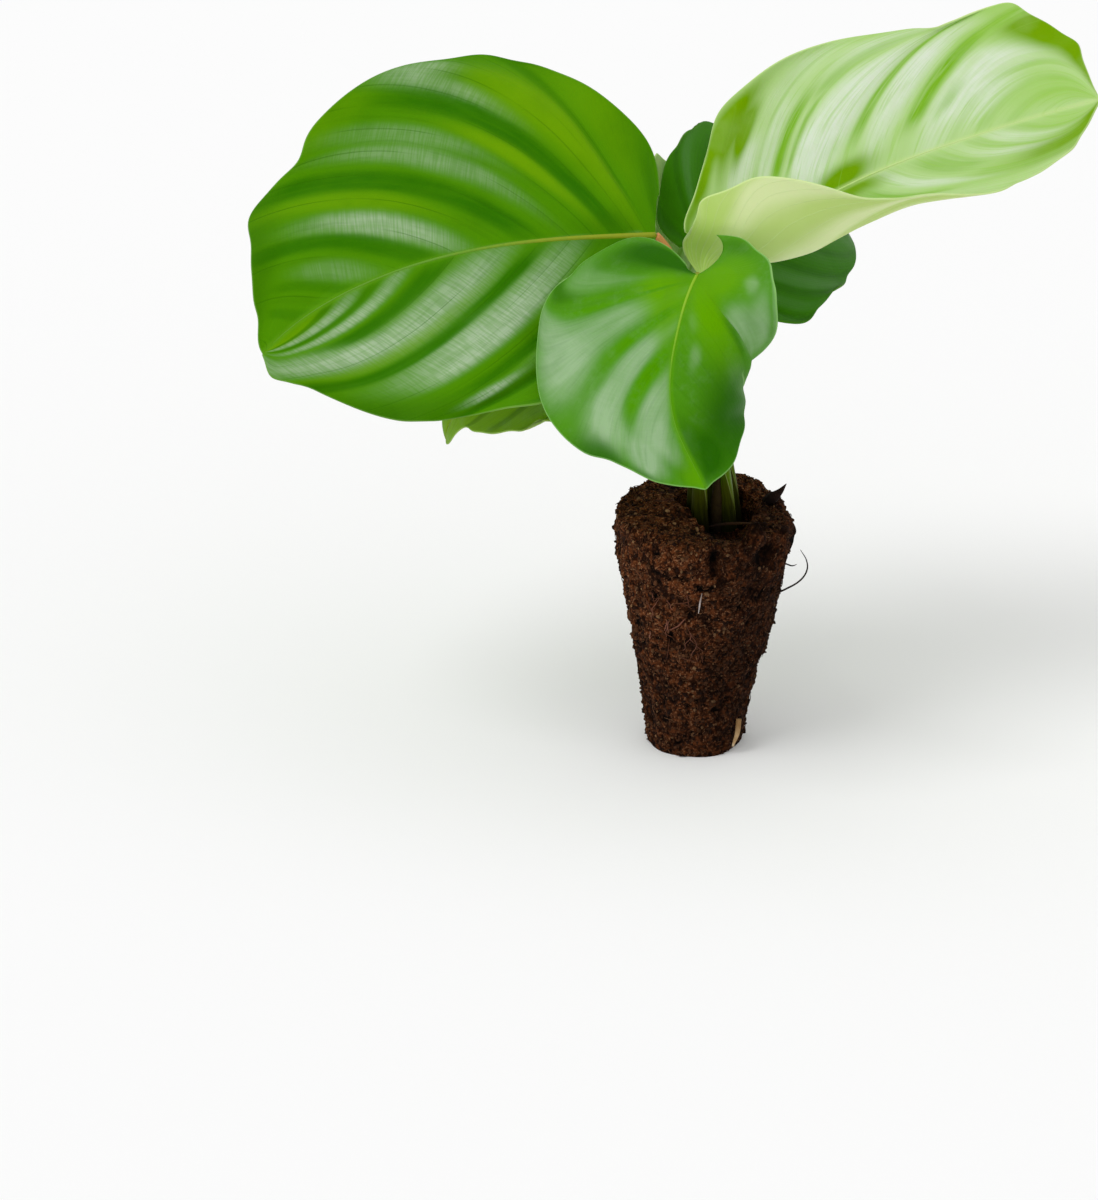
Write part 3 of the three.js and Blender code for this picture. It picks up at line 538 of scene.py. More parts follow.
def half_looks(looks, vein, share):
    """The dark stripes, the hollows they lie in, the fine veins' number and the soft patches of one half."""
    looks = {**PLAIN_LOOKS, **looks}
    t = np.abs(share)
    place = vein - smooth(looks["slant"], vein) * t * t
    stripe = np.zeros_like(place)
    hollow = np.zeros_like(place)
    for at, wide, strength, near, far in looks["bands"]:
        span = strength * ease(near - 0.06, near + 0.1, t) * (1 - ease(far - 0.15, far + 0.12, t))
        stripe = np.maximum(stripe, span * np.exp(-((place - at) / wide) ** 4))
        hollow += span * np.exp(-((place - at) / (wide + HOLLOW_SHOULDER)) ** 2)
    fields = {key: patches(looks[key], place, t) for key in ("silver_and_sheen", "warm", "shade")}
    return {"phase": place * looks["lines"] + 10, "thread": 0.15 + 0.85 * ease(0.3, 0.6, place),
            "stripe": stripe, "hollow": np.minimum(hollow, 1), **fields}


def quads(index, flip=False):
    """The faces of a grid of vertex numbers, turned over if flip is true."""
    corners = [index[:-1, :-1], index[1:, :-1], index[1:, 1:], index[:-1, 1:]]
    order = (0, 3, 2, 1) if flip else (0, 1, 2, 3)
    return np.stack([corners[k] for k in order], -1).reshape(-1, 4)


def closed_faces(rows, turns):
    """Faces of a closed grid of rings with both ends capped."""
    index = np.arange(rows * turns).reshape(rows, turns)
    faces = quads(np.concatenate([index, index[:, :1]], axis=1), True).tolist()
    return faces + [index[0, ::-1].tolist(), index[-1].tolist()]


def turning_sides(tangent, side):
    """Two directions square to each tangent in turn, twisted as little as possible."""
    for ahead in tangent:
        side = unit(side - np.dot(side, ahead) * ahead)
        yield side, np.cross(ahead, side)


def bar(points, radii, sides, up=(0, 0, 1)):
    """Rings of a round bar along points, as vertices and faces."""
    tangent = unit(np.gradient(points, axis=0))
    start = np.cross(up, tangent[0])
    if np.linalg.norm(start) < 1e-3:
        start = np.cross([0, 1, 0], tangent[0])
    angle = np.linspace(0, 2 * np.pi, sides, endpoint=False)[:, None]
    rings = [(np.cos(angle) * side + np.sin(angle) * other) * radius + centre
             for centre, radius, (side, other) in zip(points, radii, turning_sides(tangent, unit(start)))]
    return np.concatenate(rings), closed_faces(len(points), sides)


def joined(parts):
    """One list of vertices and faces from several, with the part's number for each face and vertex."""
    sizes = [len(vertices) for vertices, _ in parts]
    starts = np.cumsum([0] + sizes).tolist()
    faces = [tuple(i + start for i in face) for start, (_, listed) in zip(starts, parts) for face in listed]
    face_part = np.repeat(np.arange(len(parts)), [len(listed) for _, listed in parts])
    return (np.concatenate([vertices for vertices, _ in parts]), faces, face_part,
            np.repeat(np.arange(len(parts)), sizes))


# The colour of the gloss on a blade, which keeps its greens deep, and the light let in below its skin.
LEAF_GLOSS = (0.5, 1.0, 0.1, 1.0)
LEAF_FLESH = {"Specular_Tint": LEAF_GLOSS, "Subsurface_Weight": 0.1,
              "Subsurface_Radius": (0.0005, 0.001, 0.0003), "Subsurface_Scale": 1.0}


def leaf_top_material(name, c):
    """A blade's upper side: stripes, silver bands with painted sheen and fine cross lines, patches of
    painted shade, thin veins and a pale margin that is partly a painted highlight.
    """
    g = Graph(name)
    phase, run, thread = (g.attribute(key) for key in ("phase", "run", "thread"))
    where = g.place()
    cloud = g.math("SUBTRACT", g.noise(where, 90.0, 3.0), 0.5)
    blot = g.noise(where, 420.0, 2.0)
    streak = g.math("SUBTRACT", g.flow(run, 0.09, phase, 1.6, 3.0), 0.5)
    hatch = g.flow(g.attribute("rung"), 3.2, phase, 0.9, 0.0)
    grain = g.flow(run, 0.08, phase, 5.0, 2.0)
    mottle = g.noise(where, 300.0, 4.0, 0.75)
    stripe = g.times(g.attribute("stripe"), g.times_plus(streak, 0.9, 1.0), clamp=True)
    open_part = g.math("SUBTRACT", 1.0, stripe)
    colour = g.mix(stripe, c["light"], c["dark"])
    # The silver bands, with painted sheen and highlights in the same patches.
    shine = g.times(g.attribute("silver_and_sheen"), open_part)
    shine = g.times(shine, g.times_plus(streak, 1.1, 1.0))
    shine = g.times(shine, g.step(hatch, 0.35, 0.65, 1.0 - c["hatch"], 1.0), clamp=True)
    colour = g.mix(shine, colour, c["silver_and_sheen"])
    colour = g.mix(g.step(mottle, 0.45, 0.75, 0.0, c["mottle"]), colour, c["silver_and_sheen"])
    colour = g.mix(g.times(g.step(grain, 0.5, 0.7, 0.0, c["grain"]), thread), colour, c["shade"])
    colour = g.mix(g.times(g.step(grain, 0.5, 0.3, 0.0, c["grain"]), thread), colour, c["light"])
    # Patches of painted shade, with some of the blade's own darker green.
    colour = g.mix(g.times(g.attribute("shade"), 0.9), colour, c["shade"])
    warm = g.times(g.attribute("warm"), g.times_plus(cloud, 0.8, 1.15))
    colour = g.mix(g.times(warm, open_part), colour, c["warm"])
    colour = g.mix(g.step(cloud, 0.0, 0.2, 0.0, 0.15), colour, c["light"])
    colour = g.mix(g.step(cloud, 0.0, -0.2, 0.0, 0.15), colour, c["shade"])
    line = g.step(g.times(g.math("PINGPONG", phase, 0.5), g.attribute("gauge")), 0.03, 0.16, 1.0, 0.0)
    number = g.math("FLOOR", g.math("ADD", phase, 0.5))
    kept = g.step(g.flow(run, 0.051, number, 1.7, 0.0), 0.38, 0.6, 0.1, 1.0)
    line = g.times(g.times(g.times(line, kept), thread), c["threads"])
    colour = g.mix(line, colour, c["shade"])
    colour = g.mix(g.step(g.attribute("rib"), 0.1, 0.9, 0.5, 0.0), colour, c["rib_end"])
    # A pale margin, partly a painted highlight along the edge.
    colour = g.mix(g.step(g.attribute("rim"), 0.05, 0.3, 0.55, 0.0), colour, c["margin"])
    fine = g.math("PINGPONG", g.times(phase, 3.0), 0.5)
    height = g.times_plus(hatch, 0.3, g.times(fine, 0.5))
    height = g.math("SUBTRACT", g.times_plus(blot, 0.2, height), line)
    rough = g.math("SUBTRACT", g.times_plus(blot, 0.12, 0.36), g.times(shine, 0.05))
    return g.finish(Base_Color=colour, Roughness=rough, Normal=g.bump(height, 0.00004), IOR=1.45,
                    Specular_IOR_Level=0.1, **LEAF_FLESH)


def leaf_under_material(name, c):
    """A blade's underside: paler, matte, with raised veins and broad soft stripes."""
    g = Graph(name)
    phase = g.attribute("phase")
    cloud = g.math("SUBTRACT", g.noise(g.place(), 110.0, 3.0), 0.5)
    hatch = g.flow(g.attribute("rung"), 2.3, phase, 0.9, 1.0)
    broad = g.math("PINGPONG", g.times(phase, 0.19), 0.5)
    tone = g.times_plus(cloud, 0.8, g.step(broad, 0.08, 0.42), clamp=True)
    colour = g.mix(tone, c["under_dark"], c["under"])
    line = g.step(g.times(g.math("PINGPONG", phase, 0.5), g.attribute("gauge")), 0.03, 0.2, 1.0, 0.0)
    colour = g.mix(g.attribute("start"), colour, c["under_base"])
    colour = g.mix(g.times(line, 0.3), colour, c["margin"])
    colour = g.mix(g.step(g.attribute("rim"), 0.05, 0.35, 0.6, 0.0), colour, c["margin"])
    height = g.times_plus(hatch, 0.2, g.times(line, 0.6))
    return g.finish(Base_Color=colour, Roughness=0.62, Normal=g.bump(height, 0.00006), IOR=1.4,
                    Specular_IOR_Level=0.2, **LEAF_FLESH)


def rib_material(name, c):
    """The midrib: warm at the base, greener towards the tip."""
    g = Graph(name)
    blot = g.noise(g.place(), 900.0, 2.0)
    share = g.times_plus(g.math("SUBTRACT", blot, 0.5), 0.3, g.attribute("rib_share"))
    colour = g.mix(g.step(share, 0.05, 0.6), c["rib_base"], c["rib_end"])
    return g.finish(Base_Color=colour, Roughness=0.45, Normal=g.bump(blot, 0.00005), Specular_IOR_Level=0.3)


# A blade's edge is round over this width. Rows crowd towards the tip, and columns towards the margins.
EDGE_ROUND = 0.3
ROW_CROWDING = 1.6
COLUMN_CROWDING = 1.25

# Height and size of a blade's broad and fine unevenness, then the size and half width of its crinkles.
BROAD_RELIEF = 0.22
BROAD_SIZE = 9
FINE_RELIEF = 0.05
FINE_SIZE = 3
CRINKLE_SIZE = 1.5
CRINKLE_SHARE = 0.05

# The widest spacing of the fine veins, and the two distances from a blade's base between which the colour
# of the underside's base fades.
GAUGE_LIMIT = 30
START_NEAR = 2
START_FAR = 15

# The midrib's sides and rows, where it ends, and how much of its radius is sunk in the blade.
RIB_SIDES = 10
RIB_ROWS = 90
RIB_END = 0.97
RIB_SINK = 0.4


def blade_grid(leaf):
    """The vein and the share of each point of a blade's grid, from base to tip and from right to left."""
    rows, columns = leaf["grid"]
    first = leaf["first_vein"]
    veins = first + (1 - first) * (1 - (1 - np.linspace(0, 1, rows + 1)) ** ROW_CROWDING)
    c = np.linspace(-1, 1, columns + 1)
    shares = np.sign(c) * (1 - (1 - np.abs(c)) ** COLUMN_CROWDING)
    return np.meshgrid(veins, shares, indexing="ij")


def blade_relief(leaf, points, vein, share, hollow):
    """How far each point of a blade is raised by the hollows, the unevenness and the crinkles."""
    t = np.abs(share)
    window = ease(0.0, 0.2, t) * (1 - ease(0.8, 1.0, t))
    taper = ease(0, 0.25, vein) * (1 - ease(0.93, 1, vein))
    relief = -leaf["quilt"] * hollow * window * taper
    relief = relief + BROAD_RELIEF * noise3(points, BROAD_SIZE, SEED) * window
    relief = relief + FINE_RELIEF * noise3(points, FINE_SIZE, SEED + 1) * window
    for at, place, wide, depth in leaf["crinkles"]:
        near = np.exp(-((vein - at) / wide) ** 2 - ((share - place) / CRINKLE_SHARE) ** 2)
        relief = relief + depth * near * noise3(points, CRINKLE_SIZE, SEED + 2)
    return relief


def surface_lengths(points, vein, phase):
    """What the materials need to know of lengths on a blade.

    gauge is the spacing of the fine veins, run the way from the midrib along a row, rung the same but kept
    in step from one row to the next, and rim the distance from the margin.
    """
    middle = points.shape[1] // 2
    down_rows = np.gradient(points, axis=0)
    along_rows = unit(np.gradient(points, axis=1))
    per_line = down_rows / np.gradient(phase + 1e-4 * vein, axis=0)[..., None]
    gauge = np.minimum(np.linalg.norm(np.cross(per_line, along_rows), axis=-1), GAUGE_LIMIT)
    step = np.linalg.norm(np.diff(points, axis=1), axis=-1)
    run = np.zeros_like(vein)
    run[:, middle + 1:] = np.cumsum(step[:, middle:], axis=1)
    run[:, :middle] = np.cumsum(step[:, :middle][:, ::-1], axis=1)[:, ::-1]
    rung = run.copy()
    rim = np.zeros_like(vein)
    for part, outward, edge in ((slice(middle, None), 1, -1), (slice(0, middle), -1, 0)):
        sliding = (down_rows * outward * along_rows).sum(-1) - np.gradient(run, axis=0)
        rung[:, part] += np.cumsum(sliding[:, middle + outward * (middle // 2)])[:, None]
        rim[:, part] = margin_distance(points[:, part], points[:, edge])
    return {"gauge": gauge, "run": run, "rung": rung, "rim": rim}


def blade_shell(points, normals, rim):
    """Both sides of a blade with its round edge: vertices, faces, and 0 or 1 for an upper or lower face."""
    half = BLADE_THICKNESS / 2 * np.sqrt(np.clip(1 - (1 - np.minimum(rim / EDGE_ROUND, 1)) ** 2, 0, 1))
    half[-1] = 0
    vertices = [points + half[..., None] * normals, points - half[..., None] * normals]
    index = np.arange(rim.size).reshape(rim.shape)
    below = index + rim.size
    below[:, 0], below[:, -1], below[-1] = index[:, 0], index[:, -1], index[-1]
    start = np.stack([index[0, :-1], index[0, 1:], below[0, 1:], below[0, :-1]], -1)
    faces, kinds = [], []
    for kind, listed in ((0, quads(index)), (1, quads(below, True)), (1, start)):
        whole = [tuple(dict.fromkeys(face)) for face in listed.tolist()]
        whole = [face for face in whole if len(face) > 2]
        faces += whole
        kinds += [kind] * len(whole)
    return np.concatenate(vertices).reshape(-1, 3), faces, kinds


def midrib(leaf, vein, points, normals):
    """A blade's midrib along its upper side: vertices, faces and each vertex's share of the way."""
    middle = points.shape[1] // 2
    u = np.linspace(0, RIB_END, RIB_ROWS)
    rib_vein = u ** (1 / leaf["sweep"])
    on_rib, up = (np.stack([np.interp(rib_vein, vein[:, middle], grid[:, middle, k]) for k in range(3)], -1)
                  for grid in (points, normals))
    size = leaf["rib"] * (0.04 + 0.96 * (1 - u) ** 1.2)
    raised = BLADE_THICKNESS / 2 - RIB_SINK * size
    vertices, faces = bar(on_rib + up * raised[:, None], size, RIB_SIDES, up[0])
    return vertices, faces, np.repeat(u, RIB_SIDES)


def build_leaf(name, leaf):
    """One blade with its midrib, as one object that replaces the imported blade."""
    vein, share = blade_grid(leaf)
    points = blade_points(leaf, midrib_frames(leaf), vein, share)
    left = half_looks(leaf.get("looks_left", leaf["looks_right"]), vein, share)
    right = half_looks(leaf["looks_right"], vein, share)
    looks = {key: np.where(share >= 0, left[key], right[key]) for key in left}
    relief = blade_relief(leaf, points, vein, share, looks.pop("hollow"))
    points = points + relief[..., None] * grid_normals(points)
    normals = grid_normals(points)
    along, across = flat_point(leaf, vein, share)
    fields = {**looks, **surface_lengths(points, vein, looks["phase"]), "rib": np.abs(across),
              "start": 1 - ease(START_NEAR, START_FAR, along)}

    blade, faces, kinds = blade_shell(points, normals, fields["rim"])
    rib, rib_faces, rib_share = midrib(leaf, vein, points, normals)
    faces += [tuple(i + len(blade) for i in face) for face in rib_faces]
    kinds += [2] * len(rib_faces)
    none = np.zeros(len(rib))
    fields = {key: np.concatenate([v.ravel(), v.ravel(), none]) for key, v in fields.items()}
    fields["rib_share"] = np.concatenate([np.zeros(len(blade)), rib_share])
    kind = BLADE_KINDS.index(leaf["colours"])
    colours = {key: values[kind] for key, values in COLOURS.items()}
    materials = [leaf_top_material(f"{name}_top", colours), leaf_under_material(f"{name}_under", colours),
                 rib_material(f"{name}_rib", colours)]
    vertices = np.concatenate([blade, rib])
    make_object(f"{name}_blade", vertices, faces, materials, [name], fields, kinds)


def stalk_line(leaf):
    """Points of a stalk from its foot to the blade's base, and their share of the way."""
    arrive = unit(np.array(leaf["arrive"], float))
    foot = np.array([*leaf["foot"], CROWN_TOP - STALK_DEPTH])
    top = np.array(leaf["base"], float) - arrive * STALK_GAP
    rise = foot + [0, 0, STALK_RISE * (top[2] - foot[2])]
    below = top - arrive * STALK_HOOK
    t = np.linspace(0, 1, STALK_ROWS)[:, None]
    line = (1 - t) ** 3 * foot + 3 * t * (1 - t) ** 2 * rise + 3 * t * t * (1 - t) * below + t ** 3 * top
    length = np.concatenate([[0], np.cumsum(np.linalg.norm(np.diff(line, axis=0), axis=1))])
    return line, length / length[-1]


def stalk_material(name, leaf):
    """A stalk: brown at the foot, olive and then green above, fine ribs, and a coloured joint on top."""
    g = Graph(name)
    share = g.attribute("share")
    blot = g.noise(g.place(), 500.0, 3.0)
    fibre = g.flow(g.attribute("around"), 12.0, share, 10.0, 3.0)
    shifted = g.times_plus(g.math("SUBTRACT", blot, 0.5), 5.0, g.attribute("level"))
    colour = g.mix(g.step(shifted, 2.0, 8.0), "#1c1604", "#4c5606")
    colour = g.mix(g.step(shifted, 8.0, 17.0), colour, "#568c08")
    colour = g.mix(g.times(g.step(fibre, 0.45, 0.7), 0.25), colour, "#8ba83a")
    colour = g.mix(g.step(share, 0.77, 0.81), colour, leaf["joint"])
    return g.finish(Base_Color=colour, Roughness=g.step(fibre, 0.3, 0.7, 0.42, 0.55),
                    Normal=g.bump(fibre, 0.00015), Specular_IOR_Level=0.15, Specular_Tint=LEAF_GLOSS)


def sheath_material(name):
    """A thin sheath round a stalk's foot: fibrous, nearly black below, brown and then olive above."""
    g = Graph(name)
    level = g.attribute("level")
    fibre = g.flow(g.attribute("around"), 26.0, g.attribute("share"), 5.0, 3.0)
    shifted = g.times_plus(g.math("SUBTRACT", fibre, 0.5), 8.0, level)
    colour = g.mix(g.step(shifted, 3.0, 10.0), "#120c03", "#363804")
    colour = g.mix(g.step(shifted, 9.0, 17.0), colour, "#447408")
    edge = g.step(g.attribute("edge"), 0.9, 0.99, 0.0, 0.7)
    colour = g.mix(g.times(edge, g.step(level, 6.0, 12.0)), colour, "#9aa860")
    return g.finish(Base_Color=colour, Roughness=0.6, Normal=g.bump(fibre, 0.00012),
                    Specular_IOR_Level=0.15, Specular_Tint=LEAF_GLOSS)


# A stalk's fine ridges, then its sheath: the share of the stalk that it covers, its gap and half thickness,
# how its edges flare, and half its slit in degrees, at the foot and how much more at the end.
RIDGE_COUNT = 6
RIDGE_HEIGHT = 0.03
SHEATH_SIDES = 26
SHEATH_SHARE = 0.42
SHEATH_GAP = 0.16
SHEATH_HALF = 0.07
SHEATH_FLARE = 0.15
SHEATH_TURN = 0.6
SLIT_START = 60
SLIT_MORE = 112


def sheath_shape(line, radii, heights, across):
    """A slit tube round a stalk's first rows: vertices, faces, and how far round each vertex is."""
    tangent = unit(np.gradient(line, axis=0))
    frames = turning_sides(tangent, unit(np.cross([0, 1, 0], tangent[0])))
    outer, inner, turns = [], [], []
    for centre, radius, t, (side, other) in zip(line, radii, heights, frames):
        open_by = np.radians(SLIT_START + SLIT_MORE * t ** 1.6)
        a = np.linspace(open_by, 2 * np.pi - open_by, len(across)) + SHEATH_TURN
        flare = radius + SHEATH_GAP + SHEATH_FLARE * np.abs(across) ** 6
        direction = np.cos(a)[:, None] * side + np.sin(a)[:, None] * other
        outer.append(centre + direction * (flare + SHEATH_HALF)[:, None])
        inner.append(centre + direction * (flare - SHEATH_HALF)[:, None])
        turns.append(a / (2 * np.pi))
    index = np.arange(heights.size * across.size).reshape(heights.size, across.size)
    loop = np.concatenate([index[0, :], index[1:, -1], index[-1, -2::-1], index[-2:0:-1, 0]])
    after = np.roll(loop, -1)
    rim = np.stack([loop, loop + index.size, after + index.size, after], -1)
    faces = np.concatenate([quads(index, True), quads(index) + index.size, rim]).tolist()
    return np.concatenate(outer + inner), faces, np.concatenate(turns * 2)


def build_stalk(name, leaf):
    """One stalk with the sheath that wraps its lower part."""
    line, share = stalk_line(leaf)
    radii = smooth(STALK_SHAPE, share) * leaf["width"]
    vertices, faces = bar(line, radii, STALK_SIDES)
    ring = np.tile(np.arange(STALK_SIDES), len(line))
    angle = 2 * np.pi * ring / STALK_SIDES
    row = np.repeat(np.arange(len(line)), STALK_SIDES)
    ridge = RIDGE_HEIGHT * np.sin(RIDGE_COUNT * angle) * radii[row]
    vertices = vertices + ridge[:, None] * unit(vertices - line[row])

    last = int(np.searchsorted(share, SHEATH_SHARE))
    heights = np.arange(last + 1) / last
    across = np.linspace(-1, 1, SHEATH_SIDES)
    sheath, sheath_faces, turns = sheath_shape(line, radii, heights, across)
    all_vertices, all_faces, face_part, _ = joined([(vertices, faces), (sheath, sheath_faces)])
    attributes = {
        "level": all_vertices[:, 2] - CROWN_TOP,
        "share": np.concatenate([share[row], np.tile(np.repeat(heights, SHEATH_SIDES), 2)]),
        "around": np.concatenate([np.minimum(ring, STALK_SIDES - ring) / STALK_SIDES, turns]),
        "edge": np.concatenate([np.zeros(len(vertices)), np.tile(across, 2 * heights.size)]),
    }
    materials = [stalk_material(f"{name}_stem", leaf), sheath_material(f"{name}_wrap")]
    make_object(f"{name}_stem", all_vertices, all_faces, materials, [f"{name}_stalk"], attributes,
                face_part)


for leaf_name, leaf_shape in LEAVES.items():
    full_leaf = {**PLAIN_LEAF, **leaf_shape}
    build_leaf(leaf_name, full_leaf)
    build_stalk(leaf_name, full_leaf)

# The root plug: rings of centre, radius and height, from the base up the side, over the rim and down into
# the hollow round the crown.
PLUG_TOP_RADIUS = 15.6
PLUG_HEIGHT = 42.5
PLUG_LEAN = 1.2
PLUG_WAVINESS = 0.35
RIM_ROUND = 1.5
RIM_HEIGHT = PLUG_HEIGHT - RIM_ROUND
PIT_CENTRE = np.array([3.7, 1.3])
PIT_RADIUS = 6.8
PIT_LEVEL = 37.6
PIT_LIP = 0.6
PIT_WALL = 4.8
LIP_HEIGHT = PLUG_HEIGHT - 0.1
PLUG_TURNS = 300

# The numbers of rings on the base, up the side, over the rim, from there to the hollow, and on its wall
# and its floor.
BASE_RINGS = 16
SIDE_RINGS = 112
ROUND_RINGS = 7
TOP_RINGS = 25
WALL_RINGS = 11
FLOOR_RINGS = 19

# The side's radii, each with its height.
SIDE_PROFILE = [(8.3, 0), (9.0, 6), (10.3, 14), (12.2, 22), (13.9, 30), (15.2, 36), (15.6, RIM_HEIGHT)]

# How much higher the rim stands: least everywhere, then direction in degrees, half width and height.
RIM_RISE = 1.1
RIM_RISES = [(62, 22, 1.6), (165, 40, 1.4), (110, 30, 0.8), (-90, 60, -1.1), (15, 25, -0.5)]

# Lumps and hollows of the plug's skin: centre, reach, height outwards, and how black the place is painted.
# In the hollows this black is painted shade, and at the right edge it marks dark lumps.
LUMPS = [
    ((-14.5, 0.0, 40.0), 8.0, -1.1, 0.0),
    ((9.5, -11.8, 42.6), 1.7, 3.4, 0.0),
    ((12.0, -11.1, 39.8), 1.9, -2.4, 1.0),
    ((6.0, -8.3, 42.5), 2.4, -3.2, 1.0),
    ((-2.4, -2.8, 40.6), 2.8, 2.6, 0.0),
    ((2.6, -15.4, 41.5), 1.1, -2.2, 1.4),
    ((2.5, -15.3, 39.4), 1.1, -2.0, 1.2),
    ((2.6, -15.0, 37.2), 1.1, -1.5, 1.0),
    ((17.0, 0.2, 39.2), 1.8, 2.1, 1.6),
    ((17.0, 0.0, 36.8), 1.6, 1.7, 1.6),
    ((16.6, -3.0, 35.4), 1.8, -1.2, 0.9),
    ((6.4, -14.4, 36.4), 2.6, 1.0, 0.0),
    ((-6.5, -13.2, 38.0), 3.5, 0.9, 0.0),
    ((-11.5, -9.0, 33.0), 2.5, -0.9, 0.4),
    ((9.5, -12.0, 33.0), 2.2, -1.2, 0.7),
    ((-2.0, -13.8, 30.0), 2.4, -0.8, 0.3),
    ((5.0, 14.6, 36.0), 2.8, -0.9, 0.4),
    ((-9.0, 11.5, 30.0), 3.0, 0.8, 0.0),
    ((10.0, 9.5, 26.0), 2.6, -0.8, 0.4),
    ((-12.0, 3.0, 24.0), 2.2, -0.7, 0.3),
]


def plug_rings():
    """Centre x, centre y, radius and height of each ring of the plug's skin."""
    radii, heights = np.transpose(SIDE_PROFILE)
    rings = [(0, 0, radius, 0.0) for radius in np.linspace(0.05, 8.0, BASE_RINGS)]
    for height in np.linspace(0, RIM_HEIGHT, SIDE_RINGS):
        rings.append((PLUG_LEAN * height / PLUG_HEIGHT, 0, np.interp(height, heights, radii), height))
    flat = PLUG_TOP_RADIUS - RIM_ROUND
    for angle in np.linspace(0, np.pi / 2, ROUND_RINGS + 1)[1:]:
        radius = flat + RIM_ROUND * np.cos(angle)
        rings.append((PLUG_LEAN, 0, radius, RIM_HEIGHT + RIM_ROUND * np.sin(angle)))
    rim = np.array([PLUG_LEAN, 0, flat, PLUG_HEIGHT])
    lip = np.array([*PIT_CENTRE, PIT_RADIUS + PIT_LIP, LIP_HEIGHT])
    rings += [rim + (lip - rim) * t for t in np.linspace(0, 1, TOP_RINGS + 1)[1:]]
    for t in np.linspace(0, 1, WALL_RINGS + 1)[1:]:
        radius = PIT_RADIUS + PIT_LIP - PIT_LIP * ease(0, 0.4, t)
        rings.append((*PIT_CENTRE, radius, LIP_HEIGHT - PIT_WALL * t))
    for radius in np.linspace(PIT_RADIUS, 0.3, FLOOR_RINGS + 1)[1:]:
        rings.append((*PIT_CENTRE, radius, PIT_LEVEL))
    return np.array(rings)


def ring_grid(rings, turns):
    """Grid of points round the rings, a little uneven in outline."""
    angle = np.linspace(0, 2 * np.pi, turns, endpoint=False)
    x, y, radius, height = (rings[:, k][:, None] for k in range(4))
    uneven = np.sin(3 * angle + 0.11 * height) + np.sin(5 * angle - 0.23 * height + 1)
    swell = 1 + PLUG_WAVINESS * uneven / PLUG_TOP_RADIUS
    return np.stack([x + radius * swell * np.cos(angle), y + radius * swell * np.sin(angle),
                     height + 0 * angle], -1)


def closed_normals(points):
    """Outward normals of a grid that closes on itself across."""
    wrapped = np.concatenate([points[:, -1:], points, points[:, :1]], axis=1)
    return unit(np.cross(wrapped[:, 2:] - wrapped[:, :-2], np.gradient(points, axis=0)))


def rim_rise(points):
    """How much a point of the rim is raised, by its direction from the plug's middle."""
    direction = np.degrees(np.arctan2(points[..., 1], points[..., 0] - PLUG_LEAN))
    rise = np.full(direction.shape, RIM_RISE)
    for toward, wide, height in RIM_RISES:
        off = (direction - toward + 180) % 360 - 180
        rise = rise + height * np.exp(-(off / wide) ** 2)
    return rise


def painted_shade(points):
    """How much painted shade darkens the peat at each point: more to the right and lower down."""
    right = ease(2, 14, points[..., 0] - 0.4 * points[..., 1])
    low = 1 - ease(12, 32, points[..., 2])
    return np.clip(0.55 * right + 0.4 * low, 0, 0.65)


def peat_material():
    """Peat and coir: dark brown, grainy, with lighter crumbs and dark clumps, and painted shade:
    nearly black in its dents and hollows, and darker to the right and lower down.
    """
    g = Graph("peat")
    where = g.place()
    grain = g.noise(where, 1300.0, 3.0, 0.7)
    clump = g.noise(where, 330.0, 3.0, 0.6)
    speck = g.noise(where, 2600.0, 1.0)
    colour = g.mix(g.step(grain, 0.38, 0.62), "#260f05", "#6a3a1e")
    colour = g.mix(g.times(g.step(speck, 0.58, 0.7), 0.6), colour, "#9c7454")
    colour = g.mix(g.step(clump, 0.36, 0.52, 0.85, 0.0), colour, "#140804")
    # Painted shade: the deepest dents of the skin go nearly black.
    colour = g.mix(g.step(g.attribute("dent"), -0.1, -0.7), colour, "#080403")
    # Painted shade: darker towards the right and lower down.
    colour = g.mix(g.attribute("painted_shade"), colour, "#0a0301")
    # Painted shade, nearly black, in the hollows and round the crown; dark lumps at the right edge.
    colour = g.mix(g.attribute("black"), colour, "#060302")
    return g.finish(Base_Color=colour, Roughness=0.95, Normal=g.bump(grain, 0.0005), Specular_IOR_Level=0.05)


def fibre_material(name, colours, roughness=0.8):
    """Fibres or crumbs in several browns, one for each, with the painted shade of the peat if given."""
    g = Graph(name)
    tint = g.attribute("tint")
    blot = g.noise(g.place(), 1500.0, 3.0, 0.6)
    colour = g.mix(g.step(tint, 0.2, 0.6), colours[0], colours[1])
    colour = g.mix(g.step(tint, 0.85, 1.0), colour, colours[2])
    colour = g.mix(g.step(blot, 0.3, 0.6, 0.5, 0.0), colour, colours[0])
    # Painted shade, darker towards the right and lower down, as on the peat.
    colour = g.mix(g.attribute("painted_shade"), colour, "#0e0502")
    return g.finish(Base_Color=colour, Roughness=roughness, Normal=g.bump(blot, 0.0002),
                    Specular_IOR_Level=0.1)


plug_ring_list = plug_rings()
ring_count = len(plug_ring_list)
plug_skin = ring_grid(plug_ring_list, PLUG_TURNS)
plug_normal = closed_normals(plug_skin)
black = np.zeros(plug_skin.shape[:2])
lump = np.zeros(plug_skin.shape[:2])
for centre, reach, height, blackness in LUMPS:
    near = np.exp(-((plug_skin - centre) ** 2).sum(-1) / reach ** 2)
    lump += height * near
    black += blackness * near
